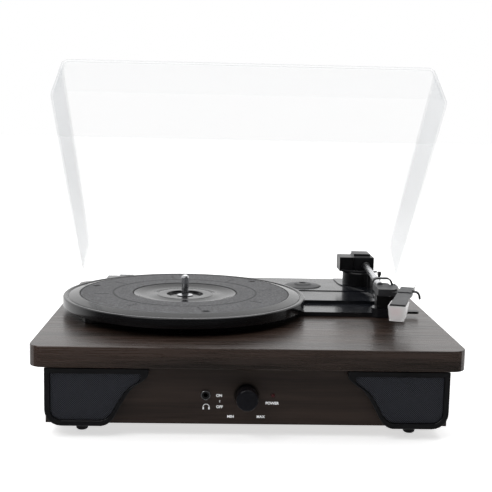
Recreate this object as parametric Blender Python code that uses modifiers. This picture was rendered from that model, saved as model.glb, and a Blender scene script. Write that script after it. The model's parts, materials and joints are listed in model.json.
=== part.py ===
"""Belt-drive turntable record player with built-in speakers, built as separate pieces.

While it is modelled, x runs right from the middle of the top board, y runs back from the
board's front edge and z runs up from the board's top face.  The last step moves the whole
player so that its origin is in the middle of its footprint, on the surface it stands on.
"""
import math

import bmesh
import bpy
from mathutils import Matrix, Vector

MM = 0.001

# ---- fits -------------------------------------------------------------------------
GAP = 0.3 * MM                 # between pieces that touch or are fastened together
SLIDE_GAP = 0.5 * MM           # between pieces that move past each other

# ---- platter ----------------------------------------------------------------------
PLATTER_RADIUS = 115 * MM
PLATTER_TOP = 15.9 * MM        # height of the rim's ridge over the board
PLATTER_SIDE = 8.9 * MM        # height of the outer skirt
PLATTER_WALL = 2.6 * MM
RIM_WIDTH = 15.4 * MM          # glossy ring outside the mat
MAT_INNER_RADIUS = 49.4 * MM
MAT_TOP = 17.3 * MM
MAT_THICKNESS = 1.2 * MM
MAT_HOLE_RADIUS = 3.4 * MM
MAT_HOLE_CIRCLE = 91.6 * MM
MAT_HOLE_TURN = math.radians(43.4)
HUB_RADIUS = 26.2 * MM
HUB_TOP = 15.5 * MM
HUB_RECESS_RADIUS = 17 * MM
HUB_RECESS_DEPTH = 2.2 * MM
DISH_DEPTH = 0.5 * MM          # hollow of the cone between the mat and the hub
DRIVE_RING_RADIUS = 70 * MM
DRIVE_RING_WALL = 3 * MM
SPINDLE_RADIUS = 3.55 * MM
SPINDLE_PROUD = 21 * MM        # above the hub's recess
BELT_THICKNESS = 0.7 * MM
PULLEY_RADIUS = 5.5 * MM
PULLEY_FLANGE_RADIUS = 7.4 * MM
PULLEY_REACH = 14 * MM         # pulley axis outside the drive ring
PULLEY_ANGLE = math.radians(45)
MOTOR_RADIUS = 15.5 * MM
MOTOR_LENGTH = 26 * MM
MOTOR_SHAFT_RADIUS = 1 * MM

# ---- plinth -----------------------------------------------------------------------
LEFT_MARGIN = 5.5 * MM         # board edge to platter
ARM_ZONE = 119.5 * MM          # platter to the board's right edge
FRONT_MARGIN = 36.2 * MM
REAR_MARGIN = 33.8 * MM
BOARD_WIDTH = LEFT_MARGIN + 2 * PLATTER_RADIUS + ARM_ZONE
BOARD_DEPTH = FRONT_MARGIN + 2 * PLATTER_RADIUS + REAR_MARGIN
BOARD_THICKNESS = 17.3 * MM
BOARD_CORNER = 12 * MM
SIDE_OVERHANG = 12.5 * MM
FRONT_OVERHANG = 10.6 * MM
REAR_OVERHANG = 10 * MM
BASE_HEIGHT = 48.9 * MM
PANEL_THICKNESS = 12 * MM
BOTTOM_THICKNESS = 3 * MM
FOOT_HEIGHT = 10.8 * MM        # from the base's lower edge to the floor
FOOT_RADIUS = 4.9 * MM
FOOT_INSET = 27.3 * MM         # from the base's side
FOOT_FRONT = 28 * MM

# ---- speakers ---------------------------------------------------------------------
FRAME_PROUD = 6 * MM           # in front of the front panel
FRAME_BORDER = 4.4 * MM
FRAME_TOP_WIDTH = 84 * MM
FRAME_BOTTOM_WIDTH = 45.8 * MM
FRAME_DROP = 0.8 * MM          # below the front panel's lower edge
FRAME_CORNER = 13.5 * MM       # outer lower corner
GRILLE_SET_BACK = 1.8 * MM
GRILLE_THICKNESS = 1.5 * MM
DRIVER_DEPTH = 22 * MM
DRIVER_RIM = 2.6 * MM          # flange of the driver around its hole

# ---- front controls ---------------------------------------------------------------
CONTROL_DROP = 41.6 * MM       # jack, knob and lamp below the board's top face
JACK_X = -34.7 * MM
KNOB_X = -1.1 * MM
LED_X = 20.5 * MM
JACK_BORE = 1.85 * MM
JACK_SLEEVE_RADIUS = 2.9 * MM
JACK_NUT_RADIUS = 4 * MM
LED_RADIUS = 1.5 * MM
KNOB_RADIUS = 9 * MM
KNOB_PROUD = 16 * MM
KNOB_RECESS_RADIUS = 10.4 * MM
KNOB_RECESS_DEPTH = 2 * MM
POT_SHAFT_RADIUS = 3 * MM

# ---- deck -------------------------------------------------------------------------
DECK_LEFT_INSET = 31 * MM      # board's left edge to the deck
DECK_RIGHT_INSET = 25.5 * MM
DECK_FRONT = 84 * MM           # front edge under the platter
TREAD_FRONT = 128 * MM         # front edge right of the platter
UPPER_TREAD_FRONT = 170 * MM
REAR_LEVEL_FRONT = 220 * MM
DECK_REAR_INSET = 8 * MM
DECK_FLOOR = 5.2 * MM
LOWER_TREAD = 4.2 * MM
UPPER_TREAD = 7.3 * MM
REAR_LEVEL = 8 * MM
ISLAND_LEVEL = 9 * MM
WELL_CLEARANCE = 2.8 * MM      # between the platter's skirt and the deck's well
ADAPTER_RADIUS = 19 * MM
ADAPTER_RECESS_DEPTH = 2 * MM

# ---- tonearm ----------------------------------------------------------------------
PIVOT_FROM_RIGHT = 51 * MM
PIVOT_FROM_REAR = 45 * MM
PEDESTAL_RADIUS = 17 * MM
PEDESTAL_TOP = 23.4 * MM
YOKE_DISC_THICKNESS = 1.5 * MM
TUBE_RADIUS = 3.1 * MM
TUBE_LEVEL = 30.9 * MM
TUBE_WALL = 0.7 * MM
HOUSING_FRONT = 12 * MM        # head's front face ahead of the swing axis
HOUSING_DEPTH = 29 * MM
HOUSING_TOP = 40 * MM
HOUSING_HUMP_TOP = 42.8 * MM
HOUSING_LEFT = 7.3 * MM        # left of the swing axis
HOUSING_RIGHT = 14.3 * MM      # right of the swing axis
SIDE_BLOCK_WIDTH = 14.4 * MM
SIDE_BLOCK_TOP = 39.8 * MM
TILT_PIN_RADIUS = 1.5 * MM
ELBOW_TOP = 32 * MM
ELBOW_BOTTOM = 25.6 * MM
HEADSHELL_TOP = 32.2 * MM
HEADSHELL_THICKNESS = 2 * MM
HEADSHELL_WIDTH = 12.6 * MM
HEADSHELL_FRONT = 31.5 * MM    # back from the board's front edge
CARTRIDGE_SIZE = Vector((12.4 * MM, 17 * MM, 9 * MM))
GUARD_BOTTOM = 17.9 * MM
GUARD_WALL = 0.9 * MM
STYLUS_TIP = 19.3 * MM
SPEED_LEVER_LEVEL = 3.6 * MM
SPEED_LEVER_THICKNESS = 2.2 * MM

# ---- dust cover -------------------------------------------------------------------
COVER_SIDE_INSET = 1.6 * MM    # board's side edge to the closed cover
COVER_REAR = 0.5 * MM          # closed cover's rear wall behind the board's rear edge
COVER_LENGTH = 282.4 * MM
COVER_HEIGHT = 45.7 * MM
COVER_WALL = 2 * MM
COVER_TAPER = 3.8 * MM
COVER_CORNER = 8 * MM
COVER_LIFT = 0.7 * MM          # closed rim above the board
COVER_OPEN_ANGLE = math.radians(45.4)
HINGE_BEHIND = 2.5 * MM        # hinge axis behind the closed cover
HINGE_LEVEL = 6.2 * MM
HINGE_FROM_CENTRE = 127 * MM
HINGE_WIDTH = 15.5 * MM
HINGE_LEAF_HEIGHT = 23 * MM
HINGE_LEAF_THICKNESS = 1.6 * MM
HINGE_PIN_RADIUS = 0.9 * MM
KNUCKLE_RADIUS = 2.1 * MM

# ---- places worked out from the sizes ---------------------------------------------
HALF_BOARD = BOARD_WIDTH / 2
HALF_BASE = HALF_BOARD - SIDE_OVERHANG
PLATTER_X = -HALF_BOARD + LEFT_MARGIN + PLATTER_RADIUS
PLATTER_Y = FRONT_MARGIN + PLATTER_RADIUS
SEAT_LEVEL = MAT_TOP - MAT_THICKNESS - GAP
HUB_FLOOR = HUB_TOP - HUB_RECESS_DEPTH
WEB_UNDERSIDE = HUB_FLOOR - 1.8 * MM
PULLEY_DISTANCE = DRIVE_RING_RADIUS + PULLEY_REACH
MOTOR_X = PLATTER_X + PULLEY_DISTANCE * math.cos(PULLEY_ANGLE)
MOTOR_Y = PLATTER_Y + PULLEY_DISTANCE * math.sin(PULLEY_ANGLE)
BASE_TOP = -BOARD_THICKNESS - GAP
BASE_BOTTOM = -BOARD_THICKNESS - BASE_HEIGHT
BASE_REAR = BOARD_DEPTH - REAR_OVERHANG
PANEL_BACK = FRONT_OVERHANG + PANEL_THICKNESS
DRIVER_HOLE_RADIUS = BASE_HEIGHT / 2 - 7 * MM
DRIVER_Z = BASE_BOTTOM + BASE_HEIGHT / 2
DRIVER_X = HALF_BASE - FRAME_TOP_WIDTH / 2
DECK_RIGHT = HALF_BOARD - DECK_RIGHT_INSET
DECK_REAR = BOARD_DEPTH - DECK_REAR_INSET
WELL_RADIUS = PLATTER_RADIUS + WELL_CLEARANCE
ADAPTER_X = PLATTER_X + PLATTER_RADIUS + 7.4 * MM
ADAPTER_Y = BOARD_DEPTH - 54 * MM
PIVOT_X = HALF_BOARD - PIVOT_FROM_RIGHT
PIVOT_Y = BOARD_DEPTH - PIVOT_FROM_REAR
HOUSING_FACE = PIVOT_Y - HOUSING_FRONT
TILT_LEVEL = TUBE_LEVEL + 0.6 * MM
REST_Y = PIVOT_Y - 126 * MM
HINGE_Y = BOARD_DEPTH + COVER_REAR + HINGE_BEHIND

PARTS = None
CUTTERS = None


# ---- modelling helpers ------------------------------------------------------------
def clear_scene():
    """Remove what the file holds and add one collection for parts and one for cutters."""
    global PARTS, CUTTERS
    for obj in list(bpy.data.objects):
        bpy.data.objects.remove(obj)
    PARTS = bpy.data.collections.new("record_player")
    CUTTERS = bpy.data.collections.new("cutters")
    bpy.context.scene.collection.children.link(PARTS)
    bpy.context.scene.collection.children.link(CUTTERS)


def make_material(name, color, roughness, metallic=0.0, alpha=1.0):
    """A Principled material of one colour."""
    material = bpy.data.materials.new(name)
    material.use_nodes = True
    shader = material.node_tree.nodes["Principled BSDF"]
    shader.inputs["Base Color"].default_value = (*color, 1.0)
    shader.inputs["Roughness"].default_value = roughness
    shader.inputs["Metallic"].default_value = metallic
    shader.inputs["Alpha"].default_value = alpha
    material.diffuse_color = (*color, alpha)
    return material


def add_mesh(name, mesh, material):
    """Link a mesh as a part, or as a guide when it has no material."""
    obj = bpy.data.objects.new(name, mesh)
    if material is None:
        make_guide(obj)
    else:
        PARTS.objects.link(obj)
        mesh.materials.append(material)
    return obj


def make_guide(obj):
    """Keep an object as a cutter that is neither rendered nor built."""
    CUTTERS.objects.link(obj)
    obj.hide_render = True
    obj.display_type = "WIRE"


def add_bmesh(name, shape, material, smooth_angle=None):
    """Turn a bmesh into an object, smooth shaded if an angle is given."""
    mesh = bpy.data.meshes.new(name)
    shape.to_mesh(mesh)
    shape.free()
    if smooth_angle is not None:
        mesh.shade_smooth()
        mesh.set_sharp_from_angle(angle=smooth_angle)
    return add_mesh(name, mesh, material)


def block(name, low, high, material=None):
    """A box between two corners, with its origin in its middle."""
    low = Vector(low)
    high = Vector(high)
    shape = bmesh.new()
    bmesh.ops.create_cube(shape, size=1.0, matrix=Matrix.Diagonal((*(high - low), 1.0)))
    obj = add_bmesh(name, shape, material)
    obj.location = (low + high) / 2
    return obj


def rod(name, start, end, radius, material=None, segments=24):
    """A cylinder between two points, with its origin in its middle."""
    start = Vector(start)
    end = Vector(end)
    shape = bmesh.new()
    bmesh.ops.create_cone(
        shape,
        cap_ends=True,
        segments=segments,
        radius1=radius,
        radius2=radius,
        depth=(end - start).length,
    )
    obj = add_bmesh(name, shape, material, smooth_angle=math.radians(40))
    obj.location = (start + end) / 2
    obj.rotation_euler = (end - start).to_track_quat("Z", "Y").to_euler()
    return obj


def turned(name, profile, place, material=None, steps=48, along=None):
    """A solid of revolution; the profile's points are (radius, height) pairs."""
    shape = bmesh.new()
    verts = [shape.verts.new((radius, 0, height)) for radius, height in profile]
    closed = min(radius for radius, _ in profile) > 0
    for first, second in zip(verts, verts[1:] + verts[:1] if closed else verts[1:]):
        shape.edges.new((first, second))
    obj = add_bmesh(name, shape, material, smooth_angle=math.radians(40))
    screw = obj.modifiers.new("turn", "SCREW")
    screw.steps = steps
    screw.render_steps = steps
    screw.use_merge_vertices = True
    screw.merge_threshold = 0.00001
    screw.use_smooth_shade = True
    obj.location = place
    if along is not None:
        obj.rotation_euler = Vector(along).to_track_quat("Z", "Y").to_euler()
    return obj


def flat_plate(name, loops, low, high, material=None, upright=False):
    """A plate with the given outlines, lying between two heights.

    An upright plate's outlines are in x and z, and it lies between two depths.
    """
    curve = bpy.data.curves.new(name, "CURVE")
    curve.dimensions = "2D"
    curve.fill_mode = "BOTH"
    curve.extrude = (high - low) / 2
    for loop in loops:
        spline = curve.splines.new("POLY")
        spline.points.add(len(loop) - 1)
        for point, (x, y) in zip(spline.points, loop):
            point.co = (x, y, 0, 1)
        spline.use_cyclic_u = True
    source = bpy.data.objects.new(name, curve)
    middle = (low + high) / 2
    source.location = (0, middle, 0) if upright else (0, 0, middle)
    source.rotation_euler.x = math.radians(90) if upright else 0
    return curve_to_mesh(source, material)


def curve_to_mesh(source, material):
    """Replace a curve object by the closed mesh that it draws."""
    name = source.name
    CUTTERS.objects.link(source)
    bpy.context.view_layer.update()
    evaluated = source.evaluated_get(bpy.context.evaluated_depsgraph_get())
    mesh = bpy.data.meshes.new_from_object(evaluated)
    place = source.matrix_world.copy()
    curve = source.data
    bpy.data.objects.remove(source)
    bpy.data.curves.remove(curve)
    shape = bmesh.new()
    shape.from_mesh(mesh)
    bmesh.ops.remove_doubles(shape, verts=shape.verts, dist=0.000001)
    bmesh.ops.recalc_face_normals(shape, faces=shape.faces)
    shape.to_mesh(mesh)
    shape.free()
    mesh.materials.clear()
    mesh.name = name
    obj = add_mesh(name, mesh, material)
    obj.matrix_world = place
    return obj


def bent_tube(name, points, radius, material):
    """A round bar along a smooth curve through the points."""
    curve = bpy.data.curves.new(name, "CURVE")
    curve.dimensions = "3D"
    curve.bevel_depth = radius
    curve.bevel_resolution = 2
    curve.use_fill_caps = True
    curve.resolution_u = 4
    spline = curve.splines.new("BEZIER")
    spline.bezier_points.add(len(points) - 1)
    for knot, point in zip(spline.bezier_points, points):
        knot.co = point
        knot.handle_left_type = "AUTO"
        knot.handle_right_type = "AUTO"
    return curve_to_mesh(bpy.data.objects.new(name, curve), material)


def cut(target, *cutters):
    """Take the cutters' shapes out of the target."""
    combine(target, "DIFFERENCE", cutters)


def join(target, *others):
    """Make the other shapes part of the target."""
    combine(target, "UNION", others)


def combine(target, operation, others):
    """Add one Boolean modifier for each of the other shapes."""
    for other in others:
        boolean = target.modifiers.new(other.name, "BOOLEAN")
        boolean.operation = operation
        boolean.object = other


def soften(obj, width, segments=2, angle=40):
    """Round the edges that are sharper than the angle."""
    bevel = obj.modifiers.new("soften", "BEVEL")
    bevel.width = width
    bevel.segments = segments
    bevel.limit_method = "ANGLE"
    bevel.angle_limit = math.radians(angle)


def empty_at(name, place, rotation=(0, 0, 0)):
    """An empty on a joint's axis, or at a sub-assembly's own corner."""
    empty = bpy.data.objects.new(name, None)
    PARTS.objects.link(empty)
    empty.location = place
    empty.rotation_euler = rotation
    return empty


def ride(empty, *pieces):
    """Parent pieces that are placed in the room to an empty that isn't turned."""
    for piece in pieces:
        piece.parent = empty
        piece.matrix_parent_inverse = Matrix.Translation(-empty.location)


def inside(empty, *pieces):
    """Parent pieces that are placed in the empty's own frame."""
    for piece in pieces:
        piece.parent = empty


def arc(centre, radius, start, end, steps):
    """Points along a circle's arc, with angles in degrees."""
    points = []
    for index in range(steps + 1):
        angle = math.radians(start + (end - start) * index / steps)
        points.append((centre[0] + radius * math.cos(angle), centre[1] + radius * math.sin(angle)))
    return points


def circle(centre, radius, steps):
    """Points round a full circle."""
    return arc(centre, radius, 0, 360, steps)[:-1]


def rounded_rectangle(low, high, radius, steps=5):
    """A rectangle's outline with round corners."""
    right = high[0] - radius
    left = low[0] + radius
    near = low[1] + radius
    far = high[1] - radius
    return (
        arc((right, far), radius, 0, 90, steps)
        + arc((left, far), radius, 90, 180, steps)
        + arc((left, near), radius, 180, 270, steps)
        + arc((right, near), radius, 270, 360, steps)
    )


def smooth_through(knots, steps=5):
    """Points on a Catmull-Rom curve through the knots."""
    ends = [knots[0]] + list(knots) + [knots[-1]]
    points = []
    for index in range(1, len(ends) - 2):
        before, first, second, after = (Vector(ends[index + shift]) for shift in (-1, 0, 1, 2))
        for step in range(steps):
            t = step / steps
            point = (
                2 * first
                + (second - before) * t
                + (2 * before - 5 * first + 4 * second - after) * t ** 2
                + (3 * first - before - 3 * second + after) * t ** 3
            ) / 2
            points.append(tuple(point))
    return points + [tuple(knots[-1])]


def drawn_in(outline, distance):
    """An anticlockwise outline moved inwards by a distance."""
    points = [Vector(point) for point in outline]
    result = []
    for index, point in enumerate(points):
        before = (point - points[index - 1]).normalized()
        after = (points[(index + 1) % len(points)] - point).normalized()
        first = Vector((-before.y, before.x))
        second = Vector((-after.y, after.x))
        result.append(tuple(point + (first + second) * distance / (1 + first.dot(second))))
    return result


# ---- materials --------------------------------------------------------------------
def make_materials():
    """The player's finishes by name."""
    return {
        "walnut": make_material("walnut", (0.055, 0.040, 0.035), 0.35),
        "board": make_material("board", (0.30, 0.20, 0.12), 0.8),
        "black": make_material("black", (0.012, 0.012, 0.014), 0.4),
        "gloss": make_material("gloss", (0.012, 0.012, 0.014), 0.15),
        "mat": make_material("mat", (0.09, 0.09, 0.09), 0.75),
        "rubber": make_material("rubber", (0.015, 0.015, 0.015), 0.8),
        "grille": make_material("grille", (0.02, 0.02, 0.025), 0.6),
        "chrome": make_material("chrome", (0.8, 0.8, 0.82), 0.12, metallic=1.0),
        "steel": make_material("steel", (0.6, 0.6, 0.62), 0.3, metallic=1.0),
        "cone": make_material("cone", (0.03, 0.03, 0.03), 0.9),
        "clear": make_material("clear", (0.9, 0.92, 0.93), 0.05, alpha=0.2),
        "guard": make_material("guard", (0.8, 0.8, 0.8), 0.3, alpha=0.7),
        "red": make_material("red", (0.45, 0.02, 0.04), 0.35),
        "brass": make_material("brass", (0.7, 0.5, 0.2), 0.3, metallic=1.0),
        "nylon": make_material("nylon", (0.75, 0.74, 0.70), 0.5),
        "fibreglass": make_material("fibreglass", (0.02, 0.13, 0.05), 0.5),
        "grey": make_material("grey", (0.10, 0.10, 0.105), 0.5),
    }


# ---- cabinet ----------------------------------------------------------------------
def build_cabinet(paint):
    """The top board, the four walls, the bottom and the feet."""
    outline = rounded_rectangle((-HALF_BOARD, 0), (HALF_BOARD, BOARD_DEPTH), BOARD_CORNER)
    top_board = flat_plate("top_board", [outline], -BOARD_THICKNESS, 0, paint["walnut"])
    through = (-BOARD_THICKNESS - MM, MM)
    holes = (
        ("motor_hole", MOTOR_X, MOTOR_Y, MOTOR_RADIUS + 1.5 * MM),
        ("bearing_hole", PLATTER_X, PLATTER_Y, 10 * MM),
        ("arm_wire_hole", PIVOT_X, PIVOT_Y, 8 * MM),
    )
    for name, x, y, radius in holes:
        cut(top_board, rod(name, (x, y, through[0]), (x, y, through[1]), radius))
    soften(top_board, 0.8 * MM, segments=1)

    inner = HALF_BASE - PANEL_THICKNESS
    front = block(
        "front_panel",
        (-HALF_BASE, FRONT_OVERHANG, BASE_BOTTOM),
        (HALF_BASE, PANEL_BACK, BASE_TOP),
        paint["walnut"],
    )
    front_holes = (
        ("jack_hole", JACK_X, JACK_SLEEVE_RADIUS + GAP, PANEL_BACK),
        ("led_hole", LED_X, LED_RADIUS + GAP, PANEL_BACK),
        ("pot_hole", KNOB_X, POT_SHAFT_RADIUS + 1.5 * MM, PANEL_BACK),
        ("knob_recess", KNOB_X, KNOB_RECESS_RADIUS, FRONT_OVERHANG + KNOB_RECESS_DEPTH - MM),
    )
    for name, x, radius, back in front_holes:
        start = (x, FRONT_OVERHANG - MM, -CONTROL_DROP)
        cut(front, rod(name, start, (x, back + MM, -CONTROL_DROP), radius, segments=20))
    for side, x in (("left", -DRIVER_X), ("right", DRIVER_X)):
        start = (x, FRONT_OVERHANG - MM, DRIVER_Z)
        end = (x, PANEL_BACK + MM, DRIVER_Z)
        cut(front, rod(f"driver_hole_{side}", start, end, DRIVER_HOLE_RADIUS, segments=24))

    wall_front = PANEL_BACK + GAP
    wall_back = BASE_REAR - PANEL_THICKNESS - GAP
    for side, low, high in (("left", -HALF_BASE, -inner), ("right", inner, HALF_BASE)):
        block(
            f"side_panel_{side}",
            (low, wall_front, BASE_BOTTOM),
            (high, wall_back, BASE_TOP),
            paint["walnut"],
        )
    block(
        "bottom_panel",
        (-inner + GAP, wall_front, BASE_BOTTOM),
        (inner - GAP, wall_back, BASE_BOTTOM + BOTTOM_THICKNESS),
        paint["board"],
    )
    back = block(
        "back_panel",
        (-HALF_BASE, BASE_REAR - PANEL_THICKNESS, BASE_BOTTOM),
        (HALF_BASE, BASE_REAR, BASE_TOP),
        paint["walnut"],
    )
    for name, x, radius in socket_places():
        start = (x, BASE_REAR - PANEL_THICKNESS - MM, DRIVER_Z)
        end = (x, BASE_REAR + MM, DRIVER_Z)
        cut(back, rod(f"{name}_hole", start, end, radius + GAP))

    foot_x = HALF_BASE - FOOT_INSET
    profile = (
        (0, 0),
        (FOOT_RADIUS * 1.15, 0),
        (FOOT_RADIUS * 1.15, -2 * MM),
        (FOOT_RADIUS, -FOOT_HEIGHT + GAP + MM),
        (FOOT_RADIUS - MM, -FOOT_HEIGHT + GAP),
        (0, -FOOT_HEIGHT + GAP),
    )
    for end, y in (("front", FOOT_FRONT), ("rear", BASE_REAR - FOOT_FRONT + FRONT_OVERHANG)):
        for side, x in (("left", -foot_x), ("right", foot_x)):
            place = (x, y, BASE_BOTTOM - GAP)
            turned(f"foot_{end}_{side}", profile, place, paint["rubber"], steps=20)


# ---- speakers ---------------------------------------------------------------------
FRAME_SWEEP = (
    (1, 0),
    (0.985, 0.12),
    (0.86, 0.22),
    (0.63, 0.36),
    (0.40, 0.65),
    (0.27, 0.85),
    (0.13, 0.965),
    (0, 1),
)                              # inner side, as shares of its width and height


def frame_outline(inset, play=0.0):
    """The right frame's outline in x and z, narrowed by a border and then by a play all round."""
    outer = HALF_BASE - inset
    top = BASE_TOP - 1.4 * MM - inset
    bottom = BASE_BOTTOM - FRAME_DROP + inset
    corner_radius = FRAME_CORNER - inset
    start = HALF_BASE - FRAME_BOTTOM_WIDTH + 0.1 * inset
    sweep = FRAME_TOP_WIDTH - FRAME_BOTTOM_WIDTH - 1.3 * inset
    knots = [(start - sweep * across, top + (bottom - top) * down) for across, down in FRAME_SWEEP]
    corner = arc((outer - corner_radius, bottom + corner_radius), corner_radius, 270, 360, 6)
    return drawn_in([(outer, top)] + smooth_through(knots, steps=3) + corner, play)


def on_side(side, outline):
    """An outline on the right (1) or mirrored to the left (-1)."""
    return [(side * x, z) for x, z in outline]


def build_speakers(paint):
    """A frame, a grille and a driver at each side of the front."""
    back = FRONT_OVERHANG - GAP
    front = back - FRAME_PROUD
    grille_front = front + GRILLE_SET_BACK
    rim = DRIVER_HOLE_RADIUS + DRIVER_RIM
    for name, side in (("left", -1), ("right", 1)):
        frame = flat_plate(
            f"speaker_frame_{name}",
            [on_side(side, frame_outline(0)), on_side(side, frame_outline(FRAME_BORDER))],
            front,
            back,
            paint["black"],
            upright=True,
        )
        soften(frame, 0.6 * MM, segments=1)
        flat_plate(
            f"speaker_grille_{name}",
            [on_side(side, frame_outline(FRAME_BORDER, GAP))],
            grille_front,
            grille_front + GRILLE_THICKNESS,
            paint["grille"],
            upright=True,
        )
        profile = (
            (0, -7 * MM),
            (5 * MM, -8 * MM),
            (DRIVER_HOLE_RADIUS - 3 * MM, -1.5 * MM),
            (DRIVER_HOLE_RADIUS - MM, 0),
            (rim, 0),
            (rim, -1.5 * MM),
            (DRIVER_HOLE_RADIUS, -1.5 * MM),
            (11 * MM, -12 * MM),
            (12 * MM, -12 * MM),
            (12 * MM, -DRIVER_DEPTH),
            (0, -DRIVER_DEPTH),
        )
        place = (side * DRIVER_X, PANEL_BACK + GAP, DRIVER_Z)
        turned(f"speaker_driver_{name}", profile, place, paint["cone"], steps=18, along=(0, -1, 0))


# ---- front controls, board and rear sockets ---------------------------------------
def build_controls(paint):
    """Headphone jack, volume control, power lamp and the board that joins them."""
    inside_face = PANEL_BACK + GAP
    jack = block(
        "headphone_jack",
        (JACK_X - 4.5 * MM, inside_face, -CONTROL_DROP - 4.5 * MM),
        (JACK_X + 4.5 * MM, inside_face + 12 * MM, -CONTROL_DROP + 4.5 * MM),
        paint["black"],
    )
    sleeve_front = FRONT_OVERHANG - 1.4 * MM
    start = (JACK_X, sleeve_front, -CONTROL_DROP)
    sleeve_end = (JACK_X, inside_face + MM, -CONTROL_DROP)
    bore_start = (JACK_X, sleeve_front - MM, -CONTROL_DROP)
    bore_end = (JACK_X, inside_face + 9 * MM, -CONTROL_DROP)
    join(jack, rod("jack_sleeve", start, sleeve_end, JACK_SLEEVE_RADIUS))
    cut(jack, rod("jack_bore", bore_start, bore_end, JACK_BORE, segments=20))
    ring = (
        (JACK_SLEEVE_RADIUS + GAP, 1.3 * MM),
        (JACK_NUT_RADIUS - 0.3 * MM, 1.3 * MM),
        (JACK_NUT_RADIUS, MM),
        (JACK_NUT_RADIUS, 0),
        (JACK_SLEEVE_RADIUS + GAP, 0),
    )
    place = (JACK_X, FRONT_OVERHANG - GAP, -CONTROL_DROP)
    turned("jack_nut", ring, place, paint["chrome"], steps=32, along=(0, -1, 0))

    lens = (
        (0, 1.4 * MM),
        (LED_RADIUS * 0.6, 1.1 * MM),
        (LED_RADIUS, 0.4 * MM),
        (LED_RADIUS, -PANEL_THICKNESS - 4 * MM),
        (0, -PANEL_THICKNESS - 4 * MM),
    )
    place = (LED_X, FRONT_OVERHANG, -CONTROL_DROP)
    turned("power_led", lens, place, paint["red"], steps=16, along=(0, -1, 0))

    pot = block(
        "potentiometer",
        (KNOB_X - 8 * MM, inside_face, -CONTROL_DROP - 8 * MM),
        (KNOB_X + 8 * MM, inside_face + 9 * MM, -CONTROL_DROP + 8 * MM),
        paint["steel"],
    )
    bush_start = (KNOB_X, FRONT_OVERHANG + KNOB_RECESS_DEPTH + GAP, -CONTROL_DROP)
    bush_end = (KNOB_X, inside_face + MM, -CONTROL_DROP)
    join(pot, rod("pot_bush", bush_start, bush_end, POT_SHAFT_RADIUS + 1.2 * MM))
    bore_start = (KNOB_X, FRONT_OVERHANG, -CONTROL_DROP)
    bore_end = (KNOB_X, inside_face + 6 * MM, -CONTROL_DROP)
    cut(pot, rod("pot_bore", bore_start, bore_end, POT_SHAFT_RADIUS + SLIDE_GAP))

    face = FRONT_OVERHANG - KNOB_PROUD
    empty = empty_at("volume_axis", (KNOB_X, face, -CONTROL_DROP))
    depth = KNOB_PROUD + KNOB_RECESS_DEPTH - SLIDE_GAP
    bore = POT_SHAFT_RADIUS + GAP
    profile = (
        (0, 0),
        (KNOB_RADIUS - 1.6 * MM, 0),
        (KNOB_RADIUS - 0.5 * MM, -0.5 * MM),
        (KNOB_RADIUS, -1.7 * MM),
        (KNOB_RADIUS, -depth),
        (bore, -depth),
        (bore, -6 * MM),
        (0, -6 * MM),
    )
    knob = turned("volume_knob", profile, (0, 0, 0), paint["black"], steps=24, along=(0, -1, 0))
    knob.location = empty.location
    shaft = rod(
        "volume_shaft",
        (KNOB_X, face + 6 * MM + GAP, -CONTROL_DROP),
        (KNOB_X, inside_face + 5.5 * MM, -CONTROL_DROP),
        POT_SHAFT_RADIUS,
        paint["steel"],
    )
    ride(empty, knob, shaft)

    block(
        "circuit_board",
        (JACK_X - 12 * MM, inside_face + 14 * MM, BASE_BOTTOM + BOTTOM_THICKNESS + 4 * MM),
        (LED_X + 12 * MM, inside_face + 15.6 * MM, BASE_TOP - 5 * MM),
        paint["fibreglass"],
    )


def socket_places():
    """Name, x and barrel radius of each socket in the back."""
    return (
        ("dc_inlet", -HALF_BASE + 60 * MM, 4 * MM),
        ("line_out_left", -HALF_BASE + 90 * MM, 4.2 * MM),
        ("line_out_right", -HALF_BASE + 106 * MM, 4.2 * MM),
    )


def build_sockets(paint):
    """The power inlet and the two line outputs in the back panel."""
    finishes = {"dc_inlet": paint["black"], "line_out_left": paint["steel"], "line_out_right": paint["steel"]}
    for name, x, radius in socket_places():
        is_power = name == "dc_inlet"
        reach = 1.6 * MM if is_power else 8 * MM
        bore = 2.8 * MM if is_power else 1.7 * MM
        pin = 1 * MM if is_power else 0.6 * MM
        flange = radius + 1.8 * MM
        floor = reach - 9.5 * MM
        back = -PANEL_THICKNESS - 5 * MM
        profile = (
            (0, reach - 2 * MM),
            (pin, reach - 2 * MM),
            (pin, floor),
            (bore, floor),
            (bore, reach),
            (radius, reach),
            (radius, 1.5 * MM),
            (flange, 1.5 * MM),
            (flange, GAP),
            (radius, GAP),
            (radius, back),
            (0, back),
        )
        turned(name, profile, (x, BASE_REAR, DRIVER_Z), finishes[name], steps=14, along=(0, 1, 0))


# ---- deck -------------------------------------------------------------------------
def island_outline():
    """The raised island under the tonearm, with its S-shaped left side."""
    knots = (
        (48 * MM, DECK_REAR - 2 * MM),
        (47.5 * MM, PIVOT_Y + 17 * MM),
        (45 * MM, PIVOT_Y - 3 * MM),
        (35 * MM, PIVOT_Y - 19 * MM),
        (24 * MM, PIVOT_Y - 39 * MM),
        (19 * MM, PIVOT_Y - 71 * MM),
        (22 * MM, PIVOT_Y - 103 * MM),
        (30 * MM, PIVOT_Y - 117 * MM),
        (32.5 * MM, PIVOT_Y - 124 * MM),
        (30.5 * MM, PIVOT_Y - 128 * MM),
        (27 * MM, PIVOT_Y - 130.5 * MM),
    )
    left_side = [(DECK_RIGHT - x, y) for x, y in smooth_through(knots, steps=3)]
    front_corner = arc((DECK_RIGHT - 3 * MM, left_side[-1][1] + 3 * MM), 3 * MM, 270, 360, 3)
    return left_side + front_corner + [(DECK_RIGHT, DECK_REAR - 2 * MM)]


def speed_lever_pivot():
    """The speed lever turns about an upright pin in the island's front part."""
    return Vector((DECK_RIGHT - 9 * MM, PIVOT_Y - 122 * MM, SPEED_LEVER_LEVEL))


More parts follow.
